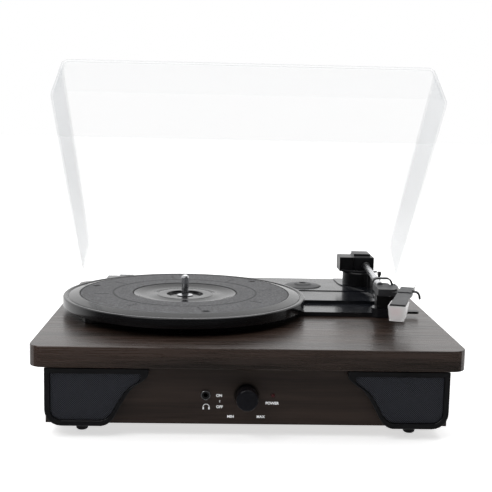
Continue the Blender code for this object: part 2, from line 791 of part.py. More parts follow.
def cue_shaft_place():
    """Middle of the cue lever's shaft, right of the pedestal."""
    return Vector((PIVOT_X + 16 * MM, PIVOT_Y - 15 * MM, ISLAND_LEVEL + 5 * MM))


def cue_stem_place():
    """The cue platform's stem stands under the tube, in front of the pedestal."""
    angle = math.radians(-75)
    return (PIVOT_X + 27.7 * MM * math.cos(angle), PIVOT_Y + 27.7 * MM * math.sin(angle))


def build_deck(paint):
    """The stepped moulding on the board that carries the platter and the tonearm."""
    left = -HALF_BOARD + DECK_LEFT_INSET
    notch = PLATTER_X + PLATTER_RADIUS - 10 * MM
    corner = 10 * MM
    outline = (
        [(notch, DECK_REAR), (left, DECK_REAR)]
        + arc((left + corner, DECK_FRONT + corner), corner, 180, 270, 4)
        + [(PLATTER_X + 0.45 * PLATTER_RADIUS, DECK_FRONT), (notch, TREAD_FRONT)]
    )
    deck = flat_plate("deck_plate", [outline], GAP, DECK_FLOOR, paint["black"])
    join(
        deck,
        block("lower_tread", (notch - 5 * MM, TREAD_FRONT, GAP), (DECK_RIGHT, DECK_REAR, LOWER_TREAD)),
        block("upper_tread", (left, UPPER_TREAD_FRONT, GAP), (DECK_RIGHT, DECK_REAR, UPPER_TREAD)),
        block("rear_level", (left, REAR_LEVEL_FRONT, GAP), (DECK_RIGHT, DECK_REAR, REAR_LEVEL)),
    )
    centre = (PLATTER_X, PLATTER_Y)
    adapter = (ADAPTER_X, ADAPTER_Y)
    cut(
        deck,
        rod("well", (*centre, DECK_FLOOR), (*centre, 20 * MM), WELL_RADIUS, segments=64),
        rod(
            "adapter_recess",
            (*adapter, REAR_LEVEL - ADAPTER_RECESS_DEPTH),
            (*adapter, 12 * MM),
            ADAPTER_RADIUS + SLIDE_GAP,
            segments=32,
        ),
        rod("bush_hole", (*centre, -MM), (*centre, 8 * MM), 8.3 * MM),
        rod("pulley_hole", (MOTOR_X, MOTOR_Y, -MM), (MOTOR_X, MOTOR_Y, 8 * MM), 4 * MM),
    )
    join(deck, flat_plate("island", [island_outline()], GAP * 1.5, ISLAND_LEVEL))
    shaft = cue_shaft_place()
    bracket_half = Vector((2.4 * MM, 4 * MM, 0))
    bracket_low = shaft - bracket_half - Vector((0, 0, 7 * MM))
    join(deck, block("cue_bracket", bracket_low, shaft + bracket_half + Vector((0, 0, 3.6 * MM))))
    stem = cue_stem_place()
    pivot = speed_lever_pivot()
    slot_low = pivot - Vector((5 * MM, 7.4 * MM, SLIDE_GAP))
    slot_high = Vector((DECK_RIGHT + MM, pivot.y + 7.4 * MM, pivot.z + SPEED_LEVER_THICKNESS + SLIDE_GAP))
    cut(
        deck,
        rod(
            "cue_shaft_hole",
            shaft - Vector((1.4 * MM, 0, 0)),
            shaft + Vector((6 * MM, 0, 0)),
            1.6 * MM + SLIDE_GAP,
            segments=16,
        ),
        rod("cue_stem_hole", (*stem, 3 * MM), (*stem, 12 * MM), 2 * MM + SLIDE_GAP, segments=16),
        block("speed_slot", slot_low, slot_high),
        rod(
            "speed_pin_hole",
            pivot - Vector((0, 0, 2.4 * MM)),
            pivot,
            2 * MM + SLIDE_GAP,
            segments=16,
        ),
        rod("arm_wire_passage", (PIVOT_X, PIVOT_Y, -MM), (PIVOT_X, PIVOT_Y, 12 * MM), 3 * MM, segments=16),
    )


def build_adapter(paint):
    """The adapter for large-hole records, lying in its recess."""
    profile = (
        (3.7 * MM, 4.8 * MM),
        (8 * MM, 4.8 * MM),
        (10 * MM, 3.4 * MM),
        (ADAPTER_RADIUS - MM, 2.6 * MM),
        (ADAPTER_RADIUS, 1.8 * MM),
        (ADAPTER_RADIUS, 0),
        (3.7 * MM, 0),
    )
    place = (ADAPTER_X, ADAPTER_Y, REAR_LEVEL - ADAPTER_RECESS_DEPTH + GAP)
    turned("adapter_45", profile, place, paint["grey"], steps=24)


# ---- platter and drive ------------------------------------------------------------
def build_platter(paint):
    """Platter and mat, turning on the fixed spindle."""
    empty = empty_at("platter_axis", (PLATTER_X, PLATTER_Y, 0))
    bore = SPINDLE_RADIUS + GAP
    rim_inner = PLATTER_RADIUS - RIM_WIDTH
    skirt_bottom = PLATTER_TOP - PLATTER_SIDE
    dish_start = HUB_RADIUS + 0.8 * MM
    dish_end = MAT_INNER_RADIUS - 0.6 * MM
    top = [(bore, HUB_FLOOR), (HUB_RECESS_RADIUS, HUB_FLOOR), (HUB_RECESS_RADIUS + 0.4 * MM, HUB_TOP)]
    top.append((HUB_RADIUS, HUB_TOP))
    dish_low = HUB_TOP - 0.4 * MM
    dish_rise = MAT_TOP - 0.5 * MM - dish_low
    for index in range(6):
        share = index / 5
        sag = DISH_DEPTH * math.sin(math.pi * share)
        top.append((dish_start + (dish_end - dish_start) * share, dish_low + dish_rise * share - sag))
    rim = [
        (dish_end + 0.2 * MM, SEAT_LEVEL),
        (rim_inner, SEAT_LEVEL),
        (rim_inner, MAT_TOP + 0.1 * MM),
        (rim_inner + 0.8 * MM, MAT_TOP + 0.2 * MM),
        (PLATTER_RADIUS - 5.4 * MM, PLATTER_TOP - 0.3 * MM),
        (PLATTER_RADIUS - 4.8 * MM, PLATTER_TOP - MM),
        (PLATTER_RADIUS - 3.8 * MM, PLATTER_TOP - MM),
        (PLATTER_RADIUS - 3.2 * MM, PLATTER_TOP),
        (PLATTER_RADIUS - 0.9 * MM, PLATTER_TOP),
        (PLATTER_RADIUS, PLATTER_TOP - 0.8 * MM),
        (PLATTER_RADIUS, skirt_bottom),
        (PLATTER_RADIUS - PLATTER_WALL, skirt_bottom),
        (PLATTER_RADIUS - PLATTER_WALL, WEB_UNDERSIDE),
    ]
    ring_bottom = DECK_FLOOR + 3 * MM
    under = [
        (DRIVE_RING_RADIUS, WEB_UNDERSIDE),
        (DRIVE_RING_RADIUS, ring_bottom),
        (DRIVE_RING_RADIUS - DRIVE_RING_WALL, ring_bottom),
        (DRIVE_RING_RADIUS - DRIVE_RING_WALL, WEB_UNDERSIDE),
        (9 * MM, WEB_UNDERSIDE),
        (9 * MM, DECK_FLOOR + 2.2 * MM),
        (bore, DECK_FLOOR + 2.2 * MM),
    ]
    platter = turned("platter", top + rim + under, empty.location, paint["gloss"], steps=48)

    mat_low = SEAT_LEVEL + GAP
    centre = (PLATTER_X, PLATTER_Y)
    loops = [circle(centre, rim_inner - 0.4 * MM, 48), circle(centre, MAT_INNER_RADIUS, 48)]
    for third in range(3):
        angle = MAT_HOLE_TURN + math.radians(120 * third)
        place = (
            PLATTER_X + MAT_HOLE_CIRCLE * math.cos(angle),
            PLATTER_Y + MAT_HOLE_CIRCLE * math.sin(angle),
        )
        loops.append(circle(place, MAT_HOLE_RADIUS, 12))
    mat = flat_plate("platter_mat", loops, mat_low, mat_low + MAT_THICKNESS, paint["mat"])
    ride(empty, platter, mat)


def build_spindle(paint):
    """The fixed spindle with its bush, thrust washer and clip."""
    place = (PLATTER_X, PLATTER_Y, 0)
    tip = HUB_FLOOR + SPINDLE_PROUD
    profile = (
        (0, tip),
        (SPINDLE_RADIUS * 0.45, tip - 0.3 * MM),
        (SPINDLE_RADIUS * 0.8, tip - 1.2 * MM),
        (SPINDLE_RADIUS, tip - 3 * MM),
        (SPINDLE_RADIUS, -14 * MM),
        (0, -14 * MM),
    )
    turned("spindle", profile, place, paint["chrome"], steps=24)
    bore = SPINDLE_RADIUS + GAP
    bush = (
        (bore, DECK_FLOOR),
        (8 * MM, DECK_FLOOR),
        (8 * MM, -MM),
        (9.5 * MM, -MM),
        (9.5 * MM, -12 * MM),
        (bore, -12 * MM),
    )
    turned("spindle_bush", bush, place, paint["brass"], steps=24)
    washer = ((bore, 1.5 * MM), (8 * MM, 1.5 * MM), (8 * MM, 0), (bore, 0))
    washer_place = (PLATTER_X, PLATTER_Y, DECK_FLOOR + GAP)
    turned("thrust_washer", washer, washer_place, paint["nylon"], steps=24)
    clip = ((bore, MM), (7.5 * MM, 0.8 * MM), (7.5 * MM, 0), (bore, 0))
    clip_place = (PLATTER_X, PLATTER_Y, HUB_FLOOR + SLIDE_GAP)
    turned("spindle_clip", clip, clip_place, paint["steel"], steps=24)


def belt_loop(offset):
    """The path round the drive ring and the pulley, at an offset from both."""
    large = DRIVE_RING_RADIUS + offset
    small = PULLEY_RADIUS + offset
    lean = math.degrees(math.acos((large - small) / PULLEY_DISTANCE))
    heading = math.degrees(PULLEY_ANGLE)
    ring = arc((PLATTER_X, PLATTER_Y), large, heading + lean, heading + 360 - lean, 36)
    pulley = arc((MOTOR_X, MOTOR_Y), small, heading - lean, heading + lean, 8)
    return ring + pulley


def build_drive(paint):
    """Motor, its shaft and pulley, and the flat belt round the drive ring."""
    axis = (MOTOR_X, MOTOR_Y)
    rod("motor", (*axis, -MOTOR_LENGTH), (*axis, 0), MOTOR_RADIUS, paint["steel"], segments=32)
    empty = empty_at("pulley_axis", (*axis, 0))
    low = DECK_FLOOR + 2.2 * MM
    high = WEB_UNDERSIDE - SLIDE_GAP
    flange = 0.8 * MM
    bore = MOTOR_SHAFT_RADIUS + GAP
    profile = (
        (bore, high),
        (PULLEY_FLANGE_RADIUS, high),
        (PULLEY_FLANGE_RADIUS, high - 0.4 * MM),
        (PULLEY_RADIUS, high - flange),
        (PULLEY_RADIUS, low + flange),
        (PULLEY_FLANGE_RADIUS, low + 0.4 * MM),
        (PULLEY_FLANGE_RADIUS, low),
        (bore, low),
    )
    pulley = turned("motor_pulley", profile, empty.location, paint["brass"], steps=16)
    shaft = rod("motor_shaft", (*axis, GAP), (*axis, high), MOTOR_SHAFT_RADIUS, paint["steel"], 12)
    ride(empty, pulley, shaft)
    flat_plate(
        "drive_belt",
        [belt_loop(GAP + BELT_THICKNESS), belt_loop(GAP)],
        low + flange + GAP,
        high - flange - GAP,
        paint["rubber"],
    )


# ---- tonearm ----------------------------------------------------------------------
def build_arm_base(paint):
    """The pedestal, and the yoke that swings on it."""
    base = ISLAND_LEVEL + GAP
    profile = (
        (4.5 * MM, PEDESTAL_TOP),
        (PEDESTAL_RADIUS - MM, PEDESTAL_TOP),
        (PEDESTAL_RADIUS, PEDESTAL_TOP - MM),
        (PEDESTAL_RADIUS, base),
        (4.5 * MM, base),
    )
    turned("arm_pedestal", profile, (PIVOT_X, PIVOT_Y, 0), paint["black"], steps=32)

    swing = empty_at("swing_axis", (PIVOT_X, PIVOT_Y, PEDESTAL_TOP))
    disc_low = PEDESTAL_TOP + SLIDE_GAP
    disc_high = disc_low + YOKE_DISC_THICKNESS
    axis = (PIVOT_X, PIVOT_Y)
    yoke = block(
        "arm_yoke",
        (PIVOT_X - HOUSING_LEFT - SLIDE_GAP - SIDE_BLOCK_WIDTH, HOUSING_FACE, disc_high - 0.4 * MM),
        (PIVOT_X - HOUSING_LEFT - SLIDE_GAP, HOUSING_FACE + HOUSING_DEPTH - 4 * MM, SIDE_BLOCK_TOP),
        paint["black"],
    )
    join(
        yoke,
        rod("yoke_disc", (*axis, disc_low), (*axis, disc_high), PEDESTAL_RADIUS - MM, segments=32),
        rod("yoke_shaft", (*axis, ISLAND_LEVEL + 2 * MM), (*axis, disc_low + MM), 4 * MM, segments=20),
    )
    pin_y = PIVOT_Y
    block_left = PIVOT_X - HOUSING_LEFT - SLIDE_GAP - SIDE_BLOCK_WIDTH
    pin_start = Vector((block_left + 4 * MM, pin_y, TILT_LEVEL))
    pin_end = Vector((PIVOT_X + HOUSING_RIGHT - 4 * MM, pin_y, TILT_LEVEL))
    reach = Vector((GAP, 0, 0))
    cut(yoke, rod("yoke_pin_hole", pin_start - reach, pin_end, TILT_PIN_RADIUS + GAP, segments=16))
    soften(yoke, 0.7 * MM, segments=1, angle=60)
    pin = rod("tilt_pin", pin_start, pin_end, TILT_PIN_RADIUS, paint["steel"], 16)
    ride(swing, yoke, pin)
    return swing


def tube_ends():
    """The arm tube's ends, inside the housing and inside the elbow."""
    front = Vector((PIVOT_X + 5.5 * MM, HOUSING_FACE, TUBE_LEVEL))
    elbow = Vector((HALF_BOARD - 50.7 * MM, REST_Y + 7 * MM, TUBE_LEVEL))
    line = (elbow - front).normalized()
    return front - line * 8 * MM, elbow + line * 10 * MM


def build_arm(paint):
    """Housing, tube, elbow and headshell, which tilt together on the yoke's pin."""
    tilt = empty_at("tilt_axis", (PIVOT_X, PIVOT_Y, TILT_LEVEL))
    left = PIVOT_X - HOUSING_LEFT
    right = PIVOT_X + HOUSING_RIGHT
    back = HOUSING_FACE + HOUSING_DEPTH
    bottom = PEDESTAL_TOP + SLIDE_GAP + YOKE_DISC_THICKNESS + 0.9 * MM
    housing = block("arm_housing", (left, HOUSING_FACE, bottom), (right, back, HOUSING_TOP), paint["black"])
    join(
        housing,
        block(
            "housing_hump",
            (left + MM, HOUSING_FACE + 7 * MM, HOUSING_TOP - MM),
            (right - 3 * MM, back, HOUSING_HUMP_TOP),
        ),
    )
    tube_start, tube_end = tube_ends()
    line = (tube_end - tube_start).normalized()
    pin_start = Vector((left - MM, PIVOT_Y, TILT_LEVEL))
    pin_end = Vector((right - 3.5 * MM, PIVOT_Y, TILT_LEVEL))
    cut(
        housing,
        rod("housing_pin_hole", pin_start, pin_end, TILT_PIN_RADIUS + SLIDE_GAP, segments=16),
        rod("housing_tube_hole", tube_start - line * GAP, tube_end, TUBE_RADIUS + GAP),
    )
    soften(housing, 0.8 * MM, segments=1, angle=60)
    tube = rod("arm_tube", tube_start, tube_end, TUBE_RADIUS, paint["chrome"], segments=20)

    shell_frame = build_headshell(paint)
    middle = HALF_BOARD - 47.5 * MM
    outline = [
        (middle - 9.6 * MM, REST_Y - 29 * MM),
        (middle + 4.4 * MM, REST_Y - 30.5 * MM),
        (middle + 8 * MM, REST_Y - 25 * MM),
        (middle + 11.4 * MM, REST_Y - 14.5 * MM),
        (middle + 10.6 * MM, REST_Y - 9.5 * MM),
        (middle + 7 * MM, REST_Y - 8 * MM),
        (middle + 5.8 * MM, REST_Y - 6 * MM),
        (middle + 5.6 * MM, REST_Y + 3 * MM),
        (middle + 2.6 * MM, REST_Y + 6.4 * MM),
        (middle - 8.8 * MM, REST_Y + 6.4 * MM),
    ]
    elbow = flat_plate("arm_elbow", [outline], ELBOW_BOTTOM, ELBOW_TOP, paint["grey"])
    tongue = block("elbow_tongue", (-13 * MM, 66 * MM, -6.2 * MM), (5 * MM, 79 * MM, -HEADSHELL_THICKNESS - GAP))
    inside(shell_frame, tongue)
    join(elbow, tongue)
    cut(elbow, rod("elbow_tube_hole", tube_start, tube_end + line * GAP, TUBE_RADIUS + GAP))
    soften(elbow, 0.5 * MM, segments=1, angle=60)
    ride(tilt, housing, tube, elbow)
    return tilt


def headshell_place():
    """Front middle of the headshell's top face, and its turn and slope."""
    front = Vector((HALF_BOARD - 53.3 * MM, HEADSHELL_FRONT, HEADSHELL_TOP - 0.4 * MM))
    rear = Vector((HALF_BOARD - 28.4 * MM, REST_Y - 20.5 * MM, HEADSHELL_TOP))
    return front, rear


def build_headshell(paint):
    """Headshell, finger lift, cartridge, stylus and guard, in the headshell's own frame.

    In that frame x runs across the shell, y back along it and z up from its top face.
    """
    front, rear = headshell_place()
    line = rear - front
    turn = -math.atan2(line.x, line.y)
    slope = math.atan2(line.z, Vector((line.x, line.y)).length)
    frame = empty_at("headshell_frame", front, (slope, 0, turn))
    half = HEADSHELL_WIDTH / 2
    length = line.length
    shell = block("headshell", (-half, 0, -HEADSHELL_THICKNESS), (half, length, 0), paint["black"])
    step = block("shell_rear_step", (-half, length - 26 * MM, -MM), (half, length, 0.7 * MM))
    join(shell, step)
    finger_points = (
        (half - 2.5 * MM, 0.76 * length, -0.6 * MM),
        (half + 2.2 * MM, 0.76 * length, 0.4 * MM),
        (half + 5.4 * MM, 0.75 * length, -1.2 * MM),
        (half + 6.8 * MM, 0.74 * length, -6 * MM),
    )
    finger = bent_tube("finger_lift", finger_points, 1.1 * MM, None)
    join(shell, finger)
    soften(shell, 0.4 * MM, segments=1, angle=60)
    width, depth, height = CARTRIDGE_SIZE
    body_top = -HEADSHELL_THICKNESS - GAP
    cartridge = block(
        "cartridge",
        (-width / 2 + 1.2 * MM, 6 * MM, body_top - height * 0.84),
        (width / 2 - 1.2 * MM, 6 * MM + depth, body_top),
        paint["black"],
    )
    tip = STYLUS_TIP - front.z
    holder_bottom = tip + 2.6 * MM
    stylus = block(
        "stylus",
        (-4.5 * MM, -0.6 * MM, holder_bottom),
        (2.8 * MM, 6 * MM - GAP, body_top - MM),
        paint["red"],
    )
    cantilever = rod("cantilever", (0, 4 * MM, holder_bottom + MM), (0, 2 * MM, tip), 0.4 * MM, None, 8)
    join(stylus, cantilever)
    guard = build_guard(front, paint)
    inside(frame, shell, step, finger, cartridge, stylus, cantilever, guard)
    return frame


def build_guard(front, paint):
    """The clear stylus guard: a tapered tray, open at its top and back."""
    floor = GUARD_BOTTOM - front.z
    top = -1.2 * MM
    half_top = HEADSHELL_WIDTH / 2 + GUARD_WALL + SLIDE_GAP
    half_floor = CARTRIDGE_SIZE.x / 2 - 0.3 * MM
    near = -2.2 * MM - GUARD_WALL
    far = 21 * MM
    shape = bmesh.new()
    bmesh.ops.create_cube(shape, size=1.0)
    for vert in shape.verts:
        half = half_floor if vert.co.z < 0 else half_top
        vert.co.x = math.copysign(half, vert.co.x)
        vert.co.y = near if vert.co.y < 0 else far
        vert.co.z = floor if vert.co.z < 0 else top
    shape.normal_update()
    open_faces = [face for face in shape.faces if face.normal.z > 0.9 or face.normal.y > 0.9]
    bmesh.ops.delete(shape, geom=open_faces, context="FACES")
    guard = add_bmesh("stylus_guard", shape, paint["guard"])
    shell = guard.modifiers.new("wall", "SOLIDIFY")
    shell.thickness = GUARD_WALL
    shell.offset = -1
    return guard


# ---- arm rest, clip and levers ----------------------------------------------------
CLIP_PIN_RADIUS = 1 * MM
CLIP_THICKNESS = 1.2 * MM
CLIP_LEVEL = 37.4 * MM         # middle of the closed strap
CLIP_WIDTH = 6 * MM


def clip_pin_place():
    """The clip's hinge pin, right of the elbow."""
    return Vector((HALF_BOARD - 37.4 * MM, REST_Y - MM, ELBOW_TOP - 2.6 * MM))


def build_arm_rest(paint):
    """The post that the arm rests on, with two ears and a pin for the clip."""
    pin = clip_pin_place()
    base = ISLAND_LEVEL + GAP
    left = HALF_BOARD - 53.7 * MM
    rest = block(
        "arm_rest",
        (left, REST_Y - 3.4 * MM, base),
        (pin.x - 5 * MM, REST_Y + 8 * MM, ELBOW_BOTTOM - GAP),
        paint["black"],
    )
    ear_width = 2 * MM
    ear_half = 2.2 * MM
    inner = CLIP_WIDTH / 2 + SLIDE_GAP
    join(
        rest,
        block(
            "rest_shelf",
            (left, REST_Y - 3.4 * MM, base),
            (pin.x + ear_half, pin.y + inner + ear_width, pin.z - 9 * MM),
        ),
        block(
            "ear_front",
            (pin.x - ear_half, pin.y - inner - ear_width, pin.z - 10 * MM),
            (pin.x + ear_half, pin.y - inner, pin.z + ear_half),
        ),
        block(
            "ear_rear",
            (pin.x - ear_half, pin.y + inner, pin.z - 10 * MM),
            (pin.x + ear_half, pin.y + inner + ear_width, pin.z + ear_half),
        ),
        rod(
            "clip_pin",
            pin - Vector((0, inner + MM, 0)),
            pin + Vector((0, inner + MM, 0)),
            CLIP_PIN_RADIUS,
            segments=16,
        ),
    )

    hinge = empty_at("clip_axis", pin)
    curl = CLIP_PIN_RADIUS + GAP + CLIP_THICKNESS / 2
    path = arc((pin.x, pin.z), curl, -100, 150, 10)
    reach = HALF_BOARD - 57 * MM
    knots = (
        path[-1],
        (pin.x - 3.4 * MM, CLIP_LEVEL - 2.2 * MM),
        (pin.x - 6 * MM, CLIP_LEVEL - 0.1 * MM),
        (pin.x - 11 * MM, CLIP_LEVEL + 0.1 * MM),
        (reach + 3 * MM, CLIP_LEVEL),
        (reach + 0.4 * MM, CLIP_LEVEL - MM),
        (reach - 0.8 * MM, CLIP_LEVEL - 2.6 * MM),
    )
    path = path[:-1] + smooth_through(knots, steps=3)
    shape = bmesh.new()
    near = [shape.verts.new((x, pin.y - CLIP_WIDTH / 2, z)) for x, z in path]
    far = [shape.verts.new((x, pin.y + CLIP_WIDTH / 2, z)) for x, z in path]
    for index in range(len(path) - 1):
        shape.faces.new((near[index], near[index + 1], far[index + 1], far[index]))
    clip = add_bmesh("arm_clip", shape, paint["black"])
    wall = clip.modifiers.new("wall", "SOLIDIFY")
    wall.thickness = CLIP_THICKNESS
    wall.offset = 0
    ride(hinge, clip)


def build_cue(paint):
    """The cue lever, and the curved platform that it raises under the tube."""
    shaft = cue_shaft_place()
    axis = empty_at("cue_axis", shaft)
    lever = rod(
        "cue_lever",
        shaft - Vector((0.8 * MM, 0, 0)),
        shaft + Vector((5.4 * MM, 0, 0)),
        1.6 * MM,
        paint["black"],
        segments=16,
    )
    arm = block("cue_arm", (3.2 * MM, -1.5 * MM, -2.2 * MM), (5.4 * MM, 1.5 * MM, 9.5 * MM))
    arm.location += shaft
    arm.rotation_euler.x = math.radians(-25)
    arm.location.y += 1.6 * MM
    nub_place = shaft + Vector((3.2 * MM, 5.2 * MM, 8.6 * MM))
    nub = rod("cue_nub", nub_place, nub_place + Vector((3.4 * MM, 0, 0)), 2.2 * MM, None, 16)
    join(lever, arm, nub)
    ride(axis, lever)

    inner = 26 * MM
    outer = 29.4 * MM
    centre = (PIVOT_X, PIVOT_Y)
    outline = arc(centre, outer, -58, -142, 14) + arc(centre, inner, -142, -58, 14)
    high = TUBE_LEVEL - TUBE_RADIUS - GAP
    platform = flat_plate("cue_platform", [outline], high - 1.4 * MM, high, paint["black"])
    stem = cue_stem_place()
    join(platform, rod("cue_stem", (*stem, 5 * MM), (*stem, high - 0.7 * MM), 2 * MM, None, 12))


def build_speed_lever(paint):
    """The speed lever, whose tab stands out of the deck's right side."""
    pivot = speed_lever_pivot()
    axis = empty_at("speed_axis", pivot)
    outline = [
        (-3.4 * MM, -3.4 * MM),
        (7 * MM, -3.4 * MM),
        (11 * MM, -5 * MM),
        (20.5 * MM, -5 * MM),
        (22 * MM, -3.5 * MM),
        (22 * MM, 3.5 * MM),
        (20.5 * MM, 5 * MM),
        (11 * MM, 5 * MM),
        (7 * MM, 3.4 * MM),
        (-3.4 * MM, 3.4 * MM),
    ]
    places = [(pivot.x + x, pivot.y + y) for x, y in outline]
    lever = flat_plate("speed_selector", [places], pivot.z, pivot.z + SPEED_LEVER_THICKNESS, paint["grey"])
    pin = rod("speed_pin", pivot - Vector((0, 0, 2 * MM)), pivot + Vector((0, 0, MM)), 2 * MM, None, 16)
    join(lever, pin)
    ride(axis, lever)


# ---- dust cover -------------------------------------------------------------------
def build_cover(paint):
    """The clear cover on its two hinges, drawn closed and then opened about them."""
    hinge = empty_at("cover_axis", (0, HINGE_Y, HINGE_LEVEL))
    rear = BOARD_DEPTH + COVER_REAR
    half = HALF_BOARD - COVER_SIDE_INSET
    shape = bmesh.new()
    bmesh.ops.create_cube(shape, size=1.0)
    for vert in shape.verts:
        inset = COVER_TAPER if vert.co.z > 0 else 0
        vert.co.x = math.copysign(half - inset, vert.co.x)
        vert.co.y = rear - inset if vert.co.y > 0 else rear - COVER_LENGTH + inset
        vert.co.z = COVER_LIFT + (COVER_HEIGHT if vert.co.z > 0 else 0)
    shape.normal_update()
    bottom = [face for face in shape.faces if face.normal.z < -0.9]
    bmesh.ops.delete(shape, geom=bottom, context="FACES")
    upright = [edge for edge in shape.edges if abs(edge.verts[0].co.z - edge.verts[1].co.z) > MM]
    bmesh.ops.bevel(shape, geom=upright, offset=COVER_CORNER, segments=4, profile=0.5, affect="EDGES")
    high = COVER_LIFT + COVER_HEIGHT - 0.1 * MM
    crown = [edge for edge in shape.edges if min(vert.co.z for vert in edge.verts) > high]
    bmesh.ops.bevel(shape, geom=crown, offset=3 * MM, segments=2, profile=0.5, affect="EDGES")
    cover = add_bmesh("dust_cover", shape, paint["clear"], smooth_angle=math.radians(35))
    wall = cover.modifiers.new("wall", "SOLIDIFY")
    wall.thickness = COVER_WALL
    wall.offset = -1
    ride(hinge, cover)

    lean = math.atan2(COVER_TAPER, COVER_HEIGHT)
    wall_y = rear - COVER_TAPER * (HINGE_LEVEL - COVER_LIFT) / COVER_HEIGHT
    half_width = HINGE_WIDTH / 2
    middle = HINGE_WIDTH / 6
    knuckle_gap = GAP
    for name, side in (("left", -1), ("right", 1)):
        x = side * HINGE_FROM_CENTRE
        axis = Vector((x, HINGE_Y, HINGE_LEVEL))
        leaf = block(
            f"hinge_leaf_{name}",
            (-half_width, 0, 0),
            (half_width, HINGE_LEAF_THICKNESS, HINGE_LEAF_HEIGHT),
            paint["clear"],
        )
        turn = Matrix.Rotation(lean, 4, "X")
        centre = turn @ leaf.location
        leaf.location = Vector((x, wall_y + GAP * 1.2, HINGE_LEVEL)) + centre
        leaf.rotation_euler.x = lean
        slot = block(
            f"leaf_slot_{name}",
            (x - middle - knuckle_gap, HINGE_Y - 4 * MM, HINGE_LEVEL - 4 * MM),
            (x + middle + knuckle_gap, HINGE_Y + 4 * MM, HINGE_LEVEL + KNUCKLE_RADIUS + GAP),
        )
        knuckles = rod(
            f"leaf_knuckles_{name}",
            axis - Vector((half_width, 0, 0)),
            axis + Vector((half_width, 0, 0)),
            KNUCKLE_RADIUS,
            segments=16,
        )
        bore = rod(
            f"leaf_bore_{name}",
            axis - Vector((half_width + MM, 0, 0)),
            axis + Vector((half_width + MM, 0, 0)),
            HINGE_PIN_RADIUS + GAP,
            segments=16,
        )
        join(leaf, knuckles)
        cut(leaf, slot, bore)
        ride(hinge, leaf, knuckles, slot, bore)

        bracket = block(
            f"hinge_bracket_{name}",
            (x - half_width, BOARD_DEPTH + GAP, -BOARD_THICKNESS + 3 * MM),
            (x + half_width, BOARD_DEPTH + GAP + 2.6 * MM, -MM),
            paint["clear"],
        )
        neck = block(
            f"bracket_neck_{name}",
            (x - middle, HINGE_Y - 1.4 * MM, -4 * MM),
            (x + middle, HINGE_Y + 1.4 * MM, HINGE_LEVEL),
        )
        knuckle = rod(
            f"bracket_knuckle_{name}",
            axis - Vector((middle, 0, 0)),
            axis + Vector((middle, 0, 0)),
            KNUCKLE_RADIUS,
            segments=16,
        )
        join(bracket, neck, knuckle)
        pin_bore = rod(
            f"bracket_bore_{name}",
            axis - Vector((half_width, 0, 0)),
            axis + Vector((half_width, 0, 0)),
            HINGE_PIN_RADIUS + GAP,
            segments=16,
        )
        cut(bracket, pin_bore)
        rod(
            f"hinge_pin_{name}",
            axis - Vector((half_width, 0, 0)),
            axis + Vector((half_width, 0, 0)),
            HINGE_PIN_RADIUS,
            paint["steel"],
            12,
        )
    hinge.rotation_euler.x = -COVER_OPEN_ANGLE


# ---- whole player -----------------------------------------------------------------
def stand_on_origin():
    """Move the player so that its footprint's middle and its feet are at the origin."""
    bpy.context.view_layer.update()
    graph = bpy.context.evaluated_depsgraph_get()
    corners = []
    for obj in PARTS.objects:
        if obj.type == "MESH":
            evaluated = obj.evaluated_get(graph)
            corners += [evaluated.matrix_world @ vert.co for vert in evaluated.data.vertices]
    low = Vector([min(corner[axis] for corner in corners) for axis in range(3)])
    high = Vector([max(corner[axis] for corner in corners) for axis in range(3)])
    shift = Vector((-(low.x + high.x) / 2, -(low.y + high.y) / 2, -low.z))
    for obj in bpy.data.objects:
        if obj.parent is None:
            obj.location += shift
    print("moved by", [round(value / MM, 3) for value in shift], "mm")


def main():
    """Build every sub-assembly."""
    clear_scene()
    paint = make_materials()
    build_cabinet(paint)
    build_speakers(paint)
    build_controls(paint)
    build_sockets(paint)
    build_deck(paint)
    build_adapter(paint)
    build_platter(paint)
    build_spindle(paint)
    build_drive(paint)
    swing = build_arm_base(paint)
    build_arm(paint)
    build_arm_rest(paint)
    build_cue(paint)
    build_speed_lever(paint)
    build_cover(paint)
    stand_on_origin()


main()
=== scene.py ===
"""Looks of a wooden record player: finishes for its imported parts, and the fine pieces laid over them.

Sizes are in metres in the parts' own frame: +X runs along the front, +Y to the back, +Z up.
"""
import json
import logging
import math
from dataclasses import dataclass
from enum import Enum
from typing import ClassVar, Sequence

import bpy
import numpy as np
from mathutils import Matrix, Vector

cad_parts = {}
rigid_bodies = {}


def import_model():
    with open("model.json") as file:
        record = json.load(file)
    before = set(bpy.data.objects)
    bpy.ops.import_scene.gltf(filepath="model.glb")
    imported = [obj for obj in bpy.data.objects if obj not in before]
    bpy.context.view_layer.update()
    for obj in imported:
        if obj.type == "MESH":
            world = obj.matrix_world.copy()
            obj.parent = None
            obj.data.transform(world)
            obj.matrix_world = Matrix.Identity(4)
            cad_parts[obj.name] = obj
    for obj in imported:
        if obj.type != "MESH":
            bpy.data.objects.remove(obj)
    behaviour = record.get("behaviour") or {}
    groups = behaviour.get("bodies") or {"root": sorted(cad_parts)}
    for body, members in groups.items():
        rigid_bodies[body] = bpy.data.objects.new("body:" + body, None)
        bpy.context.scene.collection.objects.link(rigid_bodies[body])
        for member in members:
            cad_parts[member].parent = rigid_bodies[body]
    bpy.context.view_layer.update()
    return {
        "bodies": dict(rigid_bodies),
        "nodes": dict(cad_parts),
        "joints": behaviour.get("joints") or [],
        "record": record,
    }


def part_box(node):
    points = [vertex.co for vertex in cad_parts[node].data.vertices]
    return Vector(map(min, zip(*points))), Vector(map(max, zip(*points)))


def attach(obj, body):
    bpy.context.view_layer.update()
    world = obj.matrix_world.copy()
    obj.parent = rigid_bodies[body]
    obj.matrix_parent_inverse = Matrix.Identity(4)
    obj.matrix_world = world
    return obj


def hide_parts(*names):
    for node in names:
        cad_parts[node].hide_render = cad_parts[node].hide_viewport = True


MM = 0.001
LOG = logging.getLogger("record_player")


